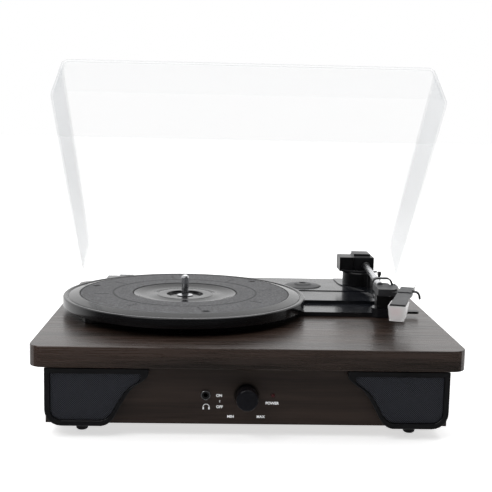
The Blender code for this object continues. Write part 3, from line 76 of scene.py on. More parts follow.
class Along(Enum):
    """The world axis that a turned piece stands on."""

    UP = (0.0, 0.0, 1.0)
    FRONT = (0.0, -1.0, 0.0)
    BACK = (0.0, 1.0, 0.0)
    DOWN = (0.0, 0.0, -1.0)


# ---- node drawing -------------------------------------------------------------------
class Sketch:
    """Draws one finish as a node tree round a Principled shader."""

    def __init__(self, name: str) -> None:
        """Starts a material of this name."""
        self.material = bpy.data.materials.new(name)
        self.material.use_nodes = True
        self.tree = self.material.node_tree
        self.shader = self.tree.nodes["Principled BSDF"]

    def set(self, **values: object) -> None:
        """Sets the shader's own sockets, with underscores for the spaces in their names."""
        for key, value in values.items():
            self.shader.inputs[key.replace("_", " ")].default_value = value

    def node(self, kind: str, **settings: object) -> bpy.types.Node:
        """Adds a node of a kind and sets its options."""
        made = self.tree.nodes.new(kind)
        for key, value in settings.items():
            setattr(made, key, value)
        return made

    def join(self, source: bpy.types.NodeSocket, target: bpy.types.NodeSocket) -> None:
        """Links one socket to another."""
        self.tree.links.new(source, target)

    def place(self, scale: Sequence[float] = (1, 1, 1)) -> bpy.types.NodeSocket:
        """Object coordinates, stretched.

        Args:
            scale: how often the pattern repeats along each axis, per metre.

        Returns:
            The vector socket.
        """
        source = self.node("ShaderNodeTexCoord").outputs["Object"]
        stretch = self.node("ShaderNodeVectorMath", operation="MULTIPLY")
        stretch.inputs[1].default_value = scale
        self.join(source, stretch.inputs[0])
        return stretch.outputs[0]

    def noise(self, vector: bpy.types.NodeSocket, scale: float, detail: float = 4.0) -> bpy.types.NodeSocket:
        """Noise over a vector.

        Args:
            vector: where the noise is read.
            scale: its size, as repeats per unit.
            detail: how many finer layers it has.

        Returns:
            The value socket.
        """
        made = self.node("ShaderNodeTexNoise")
        made.inputs["Scale"].default_value = scale
        made.inputs["Detail"].default_value = detail
        self.join(vector, made.inputs["Vector"])
        return made.outputs["Fac"]

    def sums(
        self, operation: str, first: bpy.types.NodeSocket, second: bpy.types.NodeSocket | float = 0.0
    ) -> bpy.types.NodeSocket:
        """One Math node.

        Args:
            operation: the node's operation.
            first, second: its operands, each a socket or a number.

        Returns:
            The result's socket.
        """
        made = self.node("ShaderNodeMath", operation=operation)
        for index, operand in enumerate((first, second)):
            if isinstance(operand, (int, float)):
                made.inputs[index].default_value = operand
            else:
                self.join(operand, made.inputs[index])
        return made.outputs[0]

    def band(
        self, value: bpy.types.NodeSocket, low: float, high: float, start: float = 0.0, end: float = 1.0
    ) -> bpy.types.NodeSocket:
        """Carries a value from one range into another, smoothly and within its ends.

        Args:
            value: the socket to carry.
            low, high: its own range.
            start, end: the range it is carried into.

        Returns:
            The result's socket.
        """
        made = self.node("ShaderNodeMapRange", interpolation_type="SMOOTHSTEP")
        for index, number in enumerate((low, high, start, end), 1):
            made.inputs[index].default_value = number
        self.join(value, made.inputs[0])
        return made.outputs[0]

    def ramp(
        self, value: bpy.types.NodeSocket, stops: Sequence[tuple[float, Sequence[float]]]
    ) -> bpy.types.NodeSocket:
        """A colour ramp.

        Args:
            value: what it reads.
            stops: a place and a colour for each stop.

        Returns:
            The colour socket.
        """
        made = self.node("ShaderNodeValToRGB")
        points = made.color_ramp.elements
        while len(points) < len(stops):
            points.new(0.5)
        for point, (place, colour) in zip(points, stops):
            point.position = place
            point.color = (*colour, 1)
        self.join(value, made.inputs[0])
        return made.outputs[0]

    def colour(self, socket: bpy.types.NodeSocket) -> None:
        """Feeds the base colour."""
        self.join(socket, self.shader.inputs["Base Color"])

    def rough(self, value: bpy.types.NodeSocket, low: float, high: float) -> None:
        """Feeds the roughness with a value carried between two limits."""
        self.join(self.band(value, 0.3, 0.7, low, high), self.shader.inputs["Roughness"])

    def relief(self, height: bpy.types.NodeSocket, depth: float, strength: float = 1.0) -> None:
        """Raises the surface by a height whose unit is a depth in metres."""
        bump = self.node("ShaderNodeBump")
        bump.inputs["Distance"].default_value = depth
        bump.inputs["Strength"].default_value = strength
        self.join(height, bump.inputs["Height"])
        self.join(bump.outputs[0], self.shader.inputs["Normal"])


# ---- finishes -----------------------------------------------------------------------
@dataclass(frozen=True)
class Walnut:
    """Dark stained veneer: streaks along X, fine pores, and a satin lacquer."""

    name: str
    dark: tuple[float, float, float] = (0.010, 0.006, 0.005)
    light: tuple[float, float, float] = (0.046, 0.027, 0.020)
    grain: float = 1.0
    gloss: float = 0.30
    specular: float = 0.34

    def make(self) -> bpy.types.Material:
        """Draws the finish."""
        pen = Sketch(self.name)
        broad = pen.noise(pen.place(scale=(5 * self.grain, 90, 90)), 1.0, 5.0)
        fine = pen.noise(pen.place(scale=(26 * self.grain, 900, 900)), 1.0, 3.0)
        drift = pen.noise(pen.place(scale=(3, 9, 9)), 1.0, 2.0)
        streak = pen.sums("ADD", pen.sums("MULTIPLY", broad, 0.6), pen.sums("MULTIPLY", fine, 0.25))
        streak = pen.sums("ADD", streak, pen.sums("MULTIPLY", drift, 0.15))
        middle = tuple((a + b) / 2 for a, b in zip(self.dark, self.light))
        pen.colour(pen.ramp(streak, ((0.36, self.dark), (0.5, middle), (0.64, self.light))))
        pen.rough(fine, self.gloss - 0.05, self.gloss + 0.09)
        pen.relief(fine, 0.06 * MM, 0.5)
        pen.set(Specular_IOR_Level=self.specular)
        return pen.material


@dataclass(frozen=True)
class Moulding:
    """Moulded plastic or paint: one colour, a faint mottle, and a grain of a chosen depth."""

    name: str
    colour: tuple[float, float, float]
    roughness: float = 0.3
    grain_depth: float = 0.02 * MM
    grain_scale: float = 2600.0
    specular: float = 0.5
    metallic: float = 0.0

    def make(self) -> bpy.types.Material:
        """Draws the finish."""
        pen = Sketch(self.name)
        cloud = pen.noise(pen.place(), 60.0, 3.0)
        grain = pen.noise(pen.place(), self.grain_scale, 2.0)
        low = tuple(part * 0.82 for part in self.colour)
        high = tuple(min(1.0, part * 1.16) for part in self.colour)
        pen.colour(pen.ramp(cloud, ((0.35, low), (0.65, high))))
        pen.rough(cloud, self.roughness * 0.9, self.roughness * 1.15)
        pen.relief(grain, self.grain_depth, 0.6)
        pen.set(Specular_IOR_Level=self.specular, Metallic=self.metallic)
        return pen.material


@dataclass(frozen=True)
class Turning:
    """Bright metal with fine tool lines that run round or across the piece."""

    name: str
    colour: tuple[float, float, float]
    roughness: float = 0.18
    lines: tuple[float, float, float] = (0.0, 0.0, 5000.0)

    def make(self) -> bpy.types.Material:
        """Draws the finish."""
        pen = Sketch(self.name)
        line = pen.noise(pen.place(scale=self.lines), 1.0, 2.0)
        low = tuple(part * 0.9 for part in self.colour)
        pen.colour(pen.ramp(line, ((0.3, low), (0.7, self.colour))))
        pen.rough(line, self.roughness * 0.8, self.roughness * 1.3)
        pen.relief(line, 0.01 * MM, 0.5)
        pen.set(Metallic=1.0)
        return pen.material


@dataclass(frozen=True)
class SlipMat:
    """Speckled grey mat; the open attribute is painted shade, low in its grooves, holes, edges and sides, and
    darkens them.
    """

    name: str = "slip_mat"
    dark: tuple[float, float, float] = (0.022, 0.022, 0.025)
    light: tuple[float, float, float] = (0.150, 0.152, 0.160)

    def make(self) -> bpy.types.Material:
        """Draws the finish."""
        pen = Sketch(self.name)
        grit = pen.noise(pen.place(), 620.0, 4.0)
        speck = pen.noise(pen.place(), 1700.0, 2.0)
        shade = pen.node("ShaderNodeAttribute", attribute_name="open").outputs["Fac"]
        mix = pen.sums("ADD", pen.sums("MULTIPLY", grit, 0.6), pen.sums("MULTIPLY", speck, 0.4))
        # The tone is multiplied by the painted shade, so grooves and holes go near black.
        lit = pen.sums("MULTIPLY", pen.band(mix, 0.42, 0.62), shade)
        pen.colour(pen.ramp(lit, ((0.0, (0.006, 0.006, 0.007)), (0.12, self.dark), (1.0, self.light))))
        pen.rough(grit, 0.5, 0.72)
        pen.relief(mix, 0.16 * MM, 0.8)
        return pen.material


@dataclass(frozen=True)
class Perforated:
    """Black sheet with a diamond grid of round holes."""

    name: str = "perforated_sheet"
    pitch: float = 1.25 * MM
    hole: float = 0.36

    def make(self) -> bpy.types.Material:
        """Draws the finish: the distance to the nearest grid point tells hole from sheet."""
        pen = Sketch(self.name)
        parts = pen.node("ShaderNodeSeparateXYZ")
        pen.join(pen.place(), parts.inputs[0])
        across = pen.sums("ADD", parts.outputs[0], parts.outputs[2])
        down = pen.sums("SUBTRACT", parts.outputs[0], parts.outputs[2])
        unit = 1 / (self.pitch * math.sqrt(2))
        flat = pen.node("ShaderNodeCombineXYZ")
        for index, line in enumerate((across, down)):
            turn = pen.sums("FRACT", pen.sums("MULTIPLY", line, unit))
            pen.join(pen.sums("SUBTRACT", turn, 0.5), flat.inputs[index])
        length = pen.node("ShaderNodeVectorMath", operation="LENGTH")
        pen.join(flat.outputs[0], length.inputs[0])
        sheet = pen.band(length.outputs["Value"], self.hole - 0.06, self.hole + 0.06)
        pen.colour(pen.ramp(sheet, ((0.0, (0.002, 0.002, 0.003)), (1.0, (0.034, 0.037, 0.048)))))
        pen.join(pen.band(sheet, 0.0, 1.0, 0.9, 0.34), pen.shader.inputs["Roughness"])
        pen.relief(sheet, 0.3 * MM, 0.9)
        pen.set(Specular_IOR_Level=0.4)
        return pen.material


@dataclass(frozen=True)
class ClearSheet:
    """Clear or milky moulding that shows most where it is seen edge on."""

    name: str
    colour: tuple[float, float, float]
    face: float
    edge: float
    roughness: float = 0.08

    def make(self) -> bpy.types.Material:
        """Draws the finish: cover rises from the face value to the edge value with the slant of view."""
        pen = Sketch(self.name)
        slant = pen.node("ShaderNodeLayerWeight")
        slant.inputs["Blend"].default_value = 0.35
        haze = pen.noise(pen.place(), 35.0, 2.0)
        cover = pen.band(slant.outputs["Facing"], 0.25, 1.0, self.face, self.edge)
        pen.join(pen.sums("ADD", cover, pen.sums("MULTIPLY", haze, 0.012)), pen.shader.inputs["Alpha"])
        low = tuple(part * 0.95 for part in self.colour)
        pen.colour(pen.ramp(haze, ((0.4, low), (0.6, self.colour))))
        pen.set(Roughness=self.roughness)
        return pen.material


@dataclass(frozen=True)
class Ink:
    """Printed or lit marks in one pale colour, slightly uneven; the glow is a lamp's own light, and on print a
    painted glow.
    """

    name: str
    colour: tuple[float, float, float]
    glow: float = 0.0

    def make(self) -> bpy.types.Material:
        """Draws the finish."""
        pen = Sketch(self.name)
        uneven = pen.noise(pen.place(), 1800.0, 2.0)
        low = tuple(part * 0.8 for part in self.colour)
        pen.colour(pen.ramp(uneven, ((0.3, low), (0.6, self.colour))))
        # Emission is the LED's own light, and on the print a painted glow, since print is no lamp.
        pen.set(Roughness=0.5, Emission_Color=(*self.colour, 1), Emission_Strength=self.glow)
        return pen.material


@dataclass(frozen=True)
class LacqueredBoard:
    """Green circuit board lacquer with paler tracks in a square weave."""

    name: str = "board_lacquer"

    def make(self) -> bpy.types.Material:
        """Draws the finish."""
        pen = Sketch(self.name)
        track = pen.node("ShaderNodeTexBrick")
        track.inputs["Scale"].default_value = 160.0
        track.inputs["Mortar Size"].default_value = 0.06
        pen.join(pen.place(), track.inputs["Vector"])
        colours = ((0.0, (0.008, 0.075, 0.03)), (1.0, (0.05, 0.20, 0.09)))
        pen.colour(pen.ramp(track.outputs["Fac"], colours))
        pen.set(Roughness=0.35)
        return pen.material


class Finishes:
    """Every material of the player, each made once."""

    def __init__(self) -> None:
        """Draws the whole set."""
        recipes = (
            Walnut("walnut_top", (0.012, 0.008, 0.006), (0.050, 0.029, 0.021), 1.0, 0.27, 0.8),
            Walnut("walnut_side", (0.012, 0.008, 0.007), (0.040, 0.025, 0.019), 0.8, 0.42),
            Walnut("hidden_board", (0.02, 0.014, 0.01), (0.06, 0.042, 0.03), 0.6, 0.6),
            Moulding("satin_black", (0.006, 0.006, 0.007), 0.34, specular=0.4),
            Moulding("soft_black", (0.010, 0.010, 0.011), 0.5, 0.04 * MM, 1400.0, 0.35),
            Moulding("gloss_black", (0.005, 0.005, 0.006), 0.14, 0.0008 * MM, 900.0, 0.5),
            Moulding("deck_gloss", (0.008, 0.009, 0.012), 0.17, 0.0008 * MM, 900.0, 0.8),
            Moulding("knob_gloss", (0.005, 0.005, 0.007), 0.14, 0.0008 * MM, 900.0, 0.6),
            Moulding("shell_grey", (0.030, 0.031, 0.034), 0.42, 0.03 * MM, 2000.0, 0.5),
            Moulding("foot_rubber", (0.010, 0.010, 0.010), 0.75, 0.08 * MM, 1600.0, 0.3),
            Moulding("nylon", (0.62, 0.61, 0.57), 0.45),
            Moulding("red_moulding", (0.42, 0.012, 0.014), 0.3),
            Moulding("zinc_plate", (0.52, 0.53, 0.54), 0.32, 0.02 * MM, 700.0, 0.5, 1.0),
            Turning("bright_steel", (0.74, 0.75, 0.77)),
            Turning("arm_silver", (0.80, 0.81, 0.83), 0.24, (5000.0, 0.0, 0.0)),
            Turning("turned_brass", (0.72, 0.55, 0.24), 0.25),
            SlipMat(),
            Perforated(),
            LacqueredBoard(),
            ClearSheet("clear_cover", (0.62, 0.65, 0.68), 0.018, 0.62, 0.05),
            ClearSheet("clear_hinge", (0.66, 0.68, 0.70), 0.10, 0.75, 0.12),
            ClearSheet("milky_guard", (0.92, 0.91, 0.91), 0.42, 0.88, 0.3),
            # The print glows though it is no lamp: painted light.
            Ink("white_print", (0.78, 0.79, 0.80), 0.25),
            Ink("lamp_red", (0.055, 0.006, 0.008), 0.06),
        )
        self.made = {recipe.name: recipe.make() for recipe in recipes}

    def __getitem__(self, name: str) -> bpy.types.Material:
        """The finish of this name."""
        return self.made[name]


# ---- surfaces -----------------------------------------------------------------------
def piece_from(
    name: str, points: np.ndarray, faces: list, finish: bpy.types.Material, body: str
) -> bpy.types.Object:
    """Makes a smooth-shaded piece from points and faces and lets it ride on a body.

    Args:
        name: the piece's name.
        points: an array of points, one row each, in metres.
        faces: corner numbers of each face.
        finish: its material.
        body: the moving body it goes with.

    Returns:
        The new object.
    """
    mesh = bpy.data.meshes.new(name)
    mesh.from_pydata(points.tolist(), [], faces)
    mesh.materials.append(finish)
    mesh.update()
    made = bpy.data.objects.new(name, mesh)
    bpy.context.scene.collection.objects.link(made)
    mesh.polygons.foreach_set("use_smooth", np.ones(len(mesh.polygons), dtype=bool))
    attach(made, body)
    return made


def grid_faces(rows: int, columns: int, wrap_rows: bool, wrap_columns: bool) -> list:
    """Four-cornered faces of a grid of points numbered row by row.

    Args:
        rows, columns: how many points each way.
        wrap_rows, wrap_columns: whether the last line joins the first.

    Returns:
        A list of corner numbers.
    """
    row = np.arange(rows if wrap_rows else rows - 1)[:, None]
    column = np.arange(columns if wrap_columns else columns - 1)[None, :]
    next_row = (row + 1) % rows
    next_column = (column + 1) % columns
    corners = (row * columns + column, row * columns + next_column)
    corners += (next_row * columns + next_column, next_row * columns + column)
    return np.stack([corner.ravel() for corner in corners], axis=1).tolist()


def rounded(profile: Sequence[tuple[float, float]], radius: float, steps: int = 4) -> np.ndarray:
    """A closed outline with each corner rounded.

    A corner is replaced by points of the quadratic curve that starts and ends a radius away from it,
    or a third of that side if it is less: (1-t)^2 start + 2t(1-t) corner + t^2 end.

    Args:
        profile: the outline's corners.
        radius: how far from each corner its curve starts.
        steps: how many pieces each curve has.

    Returns:
        An array of points, one row each.
    """
    outline = np.asarray(profile, float)
    before = np.roll(outline, 1, axis=0) - outline
    after = np.roll(outline, -1, axis=0) - outline
    reach_before = np.linalg.norm(before, axis=1, keepdims=True)
    reach_after = np.linalg.norm(after, axis=1, keepdims=True)
    start = outline + before / reach_before * np.minimum(radius, reach_before / 3)
    end = outline + after / reach_after * np.minimum(radius, reach_after / 3)
    t = np.linspace(0, 1, steps + 1)[None, :, None]
    curve = (1 - t) ** 2 * start[:, None] + 2 * t * (1 - t) * outline[:, None] + t ** 2 * end[:, None]
    return curve.reshape(-1, 2)


def turned_points(profile: np.ndarray, centre: Sequence[float], steps: int, along: Along) -> np.ndarray:
    """Carries a profile of radius and height round an axis.

    A point is centre + radius (cos a side + sin a other) + height axis, for a from 0 to a full turn.

    Args:
        profile: rows of radius and height.
        centre: where both are zero.
        steps: how many sides.
        along: the axis.

    Returns:
        An array of points, one row each.
    """
    axis = np.asarray(along.value)
    side = np.array((1.0, 0.0, 0.0))
    other = np.cross(axis, side)
    angle = np.arange(steps) / steps * 2 * math.pi
    spoke = np.cos(angle)[:, None] * side + np.sin(angle)[:, None] * other
    radius, height = profile[:, 0], profile[:, 1]
    points = radius[:, None, None] * spoke[None] + height[:, None, None] * axis
    return (points + np.asarray(centre)).reshape(-1, 3)


def turned_piece(
    name: str,
    profile: Sequence[tuple[float, float]],
    centre: Sequence[float],
    finish: bpy.types.Material,
    body: str,
    steps: int = 96,
    along: Along = Along.UP,
    round_by: float = 0.15 * MM,
) -> bpy.types.Object:
    """A closed ring-shaped piece turned from an outline that stays off its axis.

    Args:
        name, finish, body: as in piece_from.
        profile: outline points of radius and height, anticlockwise with radius to the right.
        centre: where radius and height are zero.
        steps: how many sides.
        along: the axis it stands on.
        round_by: how far its corners are rounded.

    Returns:
        The new object.
    """
    outline = rounded(profile, round_by)
    points = turned_points(outline, centre, steps, along)
    faces = grid_faces(len(outline), steps, True, True)
    made = piece_from(name, points, faces, finish, body)
    turn_outwards(made)
    return made


def turn_outwards(made: bpy.types.Object) -> None:
    """Turns a closed piece's faces outwards if the volume they enclose comes out negative."""
    mesh = made.data
    place = np.empty(len(mesh.vertices) * 3)
    mesh.vertices.foreach_get("co", place)
    place = place.reshape(-1, 3)
    mesh.calc_loop_triangles()
    corners = np.empty(len(mesh.loop_triangles) * 3, dtype=np.int32)
    mesh.loop_triangles.foreach_get("vertices", corners)
    a, b, c = (place[corners.reshape(-1, 3)[:, index]] for index in range(3))
    if np.einsum("ij,ij->i", a, np.cross(b, c)).sum() < 0:
        mesh.flip_normals()


def swept_strip(
    name: str,
    path: np.ndarray,
    width: float,
    thickness: float,
    finish: bpy.types.Material,
    body: str,
    up: Sequence[float] = (0.0, -1.0, 0.0),
) -> bpy.types.Object:
    """A flat closed strip along a path.

    Each path point carries four corners: path ± half the width across, and those raised by the
    thickness along up, where across is the path's direction crossed with up.

    Args:
        name, finish, body: as in piece_from.
        path: points along its middle.
        width, thickness: its section.
        up: the way its thickness goes.

    Returns:
        The new object.
    """
    path = np.asarray(path, float)
    lift = np.asarray(up, float)
    ahead = np.gradient(path, axis=0)
    across = np.cross(ahead, lift)
    across /= np.linalg.norm(across, axis=1, keepdims=True)
    low_left, low_right = path - across * width / 2, path + across * width / 2
    ring = np.stack((low_left, low_right, low_right + lift * thickness, low_left + lift * thickness), axis=1)
    faces = grid_faces(len(path), 4, False, True)
    last = 4 * (len(path) - 1)
    faces += [[3, 2, 1, 0], [last, last + 1, last + 2, last + 3]]
    made = piece_from(name, ring.reshape(-1, 3), faces, finish, body)
    turn_outwards(made)
    return made


# ---- sub-assemblies -----------------------------------------------------------------
@dataclass
class Assembly:
    """What every sub-assembly shares: the frame, the finishes, and which node takes which finish."""

    frame: dict
    finishes: Finishes
    dressing: ClassVar[dict[str, tuple[str, ...]]] = {}

    def dress(self) -> None:
        """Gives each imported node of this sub-assembly its finish."""
        for finish, nodes in self.dressing.items():
            for node in nodes:
                for slot in self.frame["nodes"][node].material_slots:
                    slot.material = self.finishes[finish]

    def build(self) -> list[bpy.types.Object]:
        """Makes the sub-assembly's fine pieces."""
        return []


@dataclass
class Legend:
    """One printed word on the front: its place from the board's top, and its letter size."""

    word: str
    x: float
    z: float
    size: float = 3.1 * MM


@dataclass
class Cabinet(Assembly):
    """The wooden body with its panels, feet, screws and printed front."""

    dressing: ClassVar[dict[str, tuple[str, ...]]] = {
        "walnut_top": ("top_board",),
        "walnut_side": ("front_panel", "side_panel_left", "side_panel_right"),
        "hidden_board": ("back_panel", "bottom_panel"),
        "foot_rubber": ("foot_front_left", "foot_front_right", "foot_rear_left", "foot_rear_right"),
        "soft_black": ("dc_inlet", "line_out_left", "line_out_right", "headphone_jack", "potentiometer"),
        "board_lacquer": ("circuit_board",),
        "bright_steel": ("jack_nut",),
        "lamp_red": ("power_led",),
    }
    legends: ClassVar[tuple[Legend, ...]] = (
        Legend("ON", -23.7 * MM, -42.2 * MM),
        Legend("I", -23.1 * MM, -47.0 * MM, 2.6 * MM),
        Legend("OFF", -23.2 * MM, -51.7 * MM),
        Legend("MIN", -14.1 * MM, -59.8 * MM),
        Legend("MAX", 10.7 * MM, -59.8 * MM),
        Legend("POWER", 19.9 * MM, -48.2 * MM),
    )
    print_depth: float = 0.05 * MM
    icon_place: tuple[float, float] = (-34.2 * MM, -51.9 * MM)
    icon_radius: float = 2.5 * MM
    screw_radius: float = 2.6 * MM

    def word(self, legend: Legend, front: float, top: float) -> bpy.types.Object:
        """Prints one word: text made a mesh, then stood up on the front face.

        Args:
            legend: the word with its place and size.
            front: the y of the print's middle.
            top: the height of the board's top.

        Returns:
            The printed word.
        """
        curve = bpy.data.curves.new("word", "FONT")
        curve.body = legend.word
        curve.size = legend.size
        curve.align_x = "CENTER"
        curve.align_y = "CENTER"
        curve.extrude = self.print_depth / 2
        curve.offset = 0.03 * legend.size
        holder = bpy.data.objects.new("word", curve)
        bpy.context.scene.collection.objects.link(holder)
        bpy.context.view_layer.update()
        mesh = bpy.data.meshes.new_from_object(holder)
        bpy.data.objects.remove(holder)
        count = len(mesh.vertices)
        place = np.empty(count * 3)
        mesh.vertices.foreach_get("co", place)
        place = place.reshape(-1, 3)
        stood = np.stack((place[:, 0] + legend.x, front - place[:, 2], place[:, 1] + top + legend.z), axis=1)
        mesh.vertices.foreach_set("co", stood.ravel())
        mesh.materials.clear()
        # The print finish carries a painted glow.
        mesh.materials.append(self.finishes["white_print"])
        mesh.update()
        made = bpy.data.objects.new(f"legend_{legend.word.lower()}", mesh)
        bpy.context.scene.collection.objects.link(made)
        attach(made, "cabinet")
        return made

    def headphone_icon(self, front: float, top: float) -> list[bpy.types.Object]:
        """A band over the head and two ear cups: arcs of a circle carried as flat strips.

        Args:
            front, top: as in word.

        Returns:
            The three strips.
        """
        # The print finish carries a painted glow.
        mark_finish = self.finishes["white_print"]
        x, z = self.icon_place[0], self.icon_place[1] + top
        angle = np.radians(np.linspace(-8, 188, 28))
        level = np.full_like(angle, front)
        band = np.stack((x + self.icon_radius * np.cos(angle), level, z + self.icon_radius * np.sin(angle)), 1)
        made = [swept_strip("icon_band", band, 0.45 * MM, self.print_depth, mark_finish, "cabinet")]
        for name, side in (("left", -1), ("right", 1)):
            drop = np.linspace(0.1 * MM, -2.0 * MM, 6)
            bow = 0.25 * MM * np.sin(np.linspace(0, math.pi, 6))
            cup = np.stack((x + side * (self.icon_radius - 0.35 * MM + bow), np.full(6, front), z + drop), 1)
            made.append(swept_strip(f"icon_cup_{name}", cup, 1.1 * MM, self.print_depth, mark_finish, "cabinet"))
        return made

    def screws(self) -> list[bpy.types.Object]:
        """Pan-head screws round the back and the underside."""
        r = self.screw_radius
        zinc = self.finishes["zinc_plate"]
        head = ((0.9 * MM, 0.5 * MM), (r, 0.0), (r, 0.25 * MM), (0.8 * r, 0.9 * MM), (0.9 * MM, 1.15 * MM))
        made = []
        for along, node in ((Along.BACK, "back_panel"), (Along.DOWN, "bottom_panel")):
            low, high = (np.asarray(corner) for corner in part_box(node))
            face = high[1] if along is Along.BACK else low[2]
            for column, x in enumerate(np.linspace(low[0] + 9 * MM, high[0] - 9 * MM, 3)):
                other = 2 if along is Along.BACK else 1
                for row, inset in enumerate((7 * MM, -7 * MM)):
                    edge = low[other] + inset if inset > 0 else high[other] + inset
                    centre = (x, face, edge) if along is Along.BACK else (x, edge, face)
                    name = f"screw_{node.split('_')[0]}_{column}_{row}"
                    made.append(turned_piece(name, head, centre, zinc, "cabinet", 24, along))
        return made

    def build(self) -> list[bpy.types.Object]:
        """Prints the front and adds the screws."""
        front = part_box("front_panel")[0][1] - self.print_depth / 2
        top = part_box("top_board")[1][2]
        words = [self.word(legend, front, top) for legend in self.legends]
        return words + self.headphone_icon(front, top) + self.screws()


@dataclass
class Speakers(Assembly):
    """Frames, perforated sheets and the drivers behind them."""

    dressing: ClassVar[dict[str, tuple[str, ...]]] = {
        "satin_black": ("speaker_frame_left", "speaker_frame_right"),
        "perforated_sheet": ("speaker_grille_left", "speaker_grille_right"),
        "soft_black": ("speaker_driver_left", "speaker_driver_right"),
    }


@dataclass
class Turntable(Assembly):
    """Deck, platter, mat, spindle and drive."""

    dressing: ClassVar[dict[str, tuple[str, ...]]] = {
        "deck_gloss": ("deck_plate",),
        "gloss_black": ("platter",),
        "slip_mat": ("platter_mat",),
        "bright_steel": ("spindle", "spindle_clip", "motor_shaft"),
        "turned_brass": ("spindle_bush", "motor_pulley"),
        "nylon": ("thrust_washer",),
        "foot_rubber": ("drive_belt",),
        "zinc_plate": ("motor",),
        "shell_grey": ("adapter_45",),
        "satin_black": ("speed_selector",),
    }
    groove_ring: float = 68.2 * MM
    groove_half: float = 0.85 * MM
    spokes: int = 8
    spoke_span: tuple[float, float] = (73.0 * MM, 86.0 * MM)
    hole_circle: float = 91.6 * MM
    hole_turn: float = math.radians(43.4)
    hole_radius: float = 3.4 * MM
    edge_roll: float = 0.5 * MM
    mat_inner: float = 49.4 * MM
    groove_depth: float = 0.5 * MM
    rings: int = 120
    sides: int = 640

    def mat(self) -> bpy.types.Object:
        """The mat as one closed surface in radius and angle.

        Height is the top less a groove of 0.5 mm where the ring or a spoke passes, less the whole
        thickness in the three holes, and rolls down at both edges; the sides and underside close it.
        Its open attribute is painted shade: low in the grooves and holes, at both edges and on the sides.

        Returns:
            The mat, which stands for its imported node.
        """
        low, high = (np.asarray(corner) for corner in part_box("platter_mat"))
        centre = (low + high) / 2
        outer = (high[0] - low[0]) / 2
        inner = self.mat_inner
        thickness = high[2] - low[2]
        within_edges = np.linspace(inner + 0.05 * MM, outer - 0.05 * MM, self.rings - 2)
        radius = np.concatenate(([inner], within_edges, [outer]))
        angle = np.arange(self.sides) / self.sides * 2 * math.pi
        r, a = np.meshgrid(radius, angle, indexing="ij")
        ring = np.exp(-(((r - self.groove_ring) / self.groove_half) ** 2))
        spoke_angle = 2 * math.pi / self.spokes
        off = (a + 0.2) % spoke_angle - spoke_angle / 2
        within = (r > self.spoke_span[0]) & (r < self.spoke_span[1])
        spoke = np.exp(-((r * off / self.groove_half) ** 2)) * within
        groove = np.maximum(ring, spoke)
        hole = np.zeros_like(r)
        x, y = r * np.cos(a), r * np.sin(a)
        for third in range(3):
            turn = self.hole_turn + third * 2 * math.pi / 3
            away = np.hypot(x - self.hole_circle * math.cos(turn), y - self.hole_circle * math.sin(turn))
            hole = np.maximum(hole, np.clip((self.hole_radius - away) / (0.5 * MM) + 0.5, 0, 1))
        edge = np.minimum(r - inner, outer - r)
        roll = self.edge_roll * (1 - np.clip(edge / self.edge_roll, 0, 1)) ** 2
        z = high[2] - self.groove_depth * groove - 0.9 * thickness * hole - roll
        # Painted shade: the open attribute is low in the grooves and holes and in a 0.6 mm band at both edges.
        shade = np.clip(1 - 0.95 * groove - hole - 0.8 * (edge < 0.6 * MM), 0, 1)
        under = np.stack((x[[-1, 0]], y[[-1, 0]], np.full((2, len(angle)), low[2] - centre[2])), axis=2)
        top = np.stack((x, y, z - centre[2]), axis=2)
        points = np.concatenate((top, under)).reshape(-1, 3) + centre
        made = piece_from(
            "slip_mat",
            points,
            grid_faces(len(radius) + 2, len(angle), True, True),
            self.finishes["slip_mat"],
            "platter",
        )
        layer = made.data.attributes.new("open", "FLOAT", "POINT")
        # The sides and underside get 0.6 of the open attribute: painted shade on the mat's walls.
        shades = np.concatenate((shade.ravel(), np.full(2 * len(angle), 0.6)))
        layer.data.foreach_set("value", shades.astype(np.float32))
        turn_outwards(made)
        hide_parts("platter_mat")
        return made

    def platter(self) -> bpy.types.Object:
        """The platter turned from its section: hub, dish, mat seat, sloped rim, ridge and skirt.

        The dish sags below a straight slope by a sine of the share of its width.

        Returns:
            The platter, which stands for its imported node.
        """
        low, high = (np.asarray(corner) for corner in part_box("platter"))
        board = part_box("top_board")[1][2]
        centre = ((low[0] + high[0]) / 2, (low[1] + high[1]) / 2, board)
        edge = (high[0] - low[0]) / 2
        skirt = max((low[2] - board) / MM, 4.0)
        share = np.linspace(0, 1, 14)
        dish = zip(27.0 + 21.8 * share, 15.1 + 1.7 * share - 1.5 * np.sin(math.pi * share))
        outer = edge / MM
        section = [(3.85, 13.3), (17.0, 13.3), (17.4, 15.5), (26.2, 15.5), *dish, (49.0, 15.8)]
        section += [(outer - 15.4, 15.8), (outer - 15.4, 17.4), (outer - 14.6, 17.5), (outer - 5.4, 15.6)]
        section += [(outer - 4.8, 14.9), (outer - 3.8, 14.9), (outer - 3.2, 15.9), (outer - 0.9, 15.9)]
        section += [(outer, 15.1), (outer, skirt), (outer - 2.0, skirt)]
        section += [(outer - 2.2, 11.5), (3.85, 11.5)]
        profile = [(radius * MM, height * MM) for radius, height in section]
        made = turned_piece(
            "platter_turned",
            profile,
            centre,
            self.finishes["gloss_black"],
            "platter",
            256,
            Along.UP,
            0.35 * MM,
        )
        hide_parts("platter")
        return made

    def build(self) -> list[bpy.types.Object]:
        """Makes the platter and its mat."""
        return [self.platter(), self.mat()]


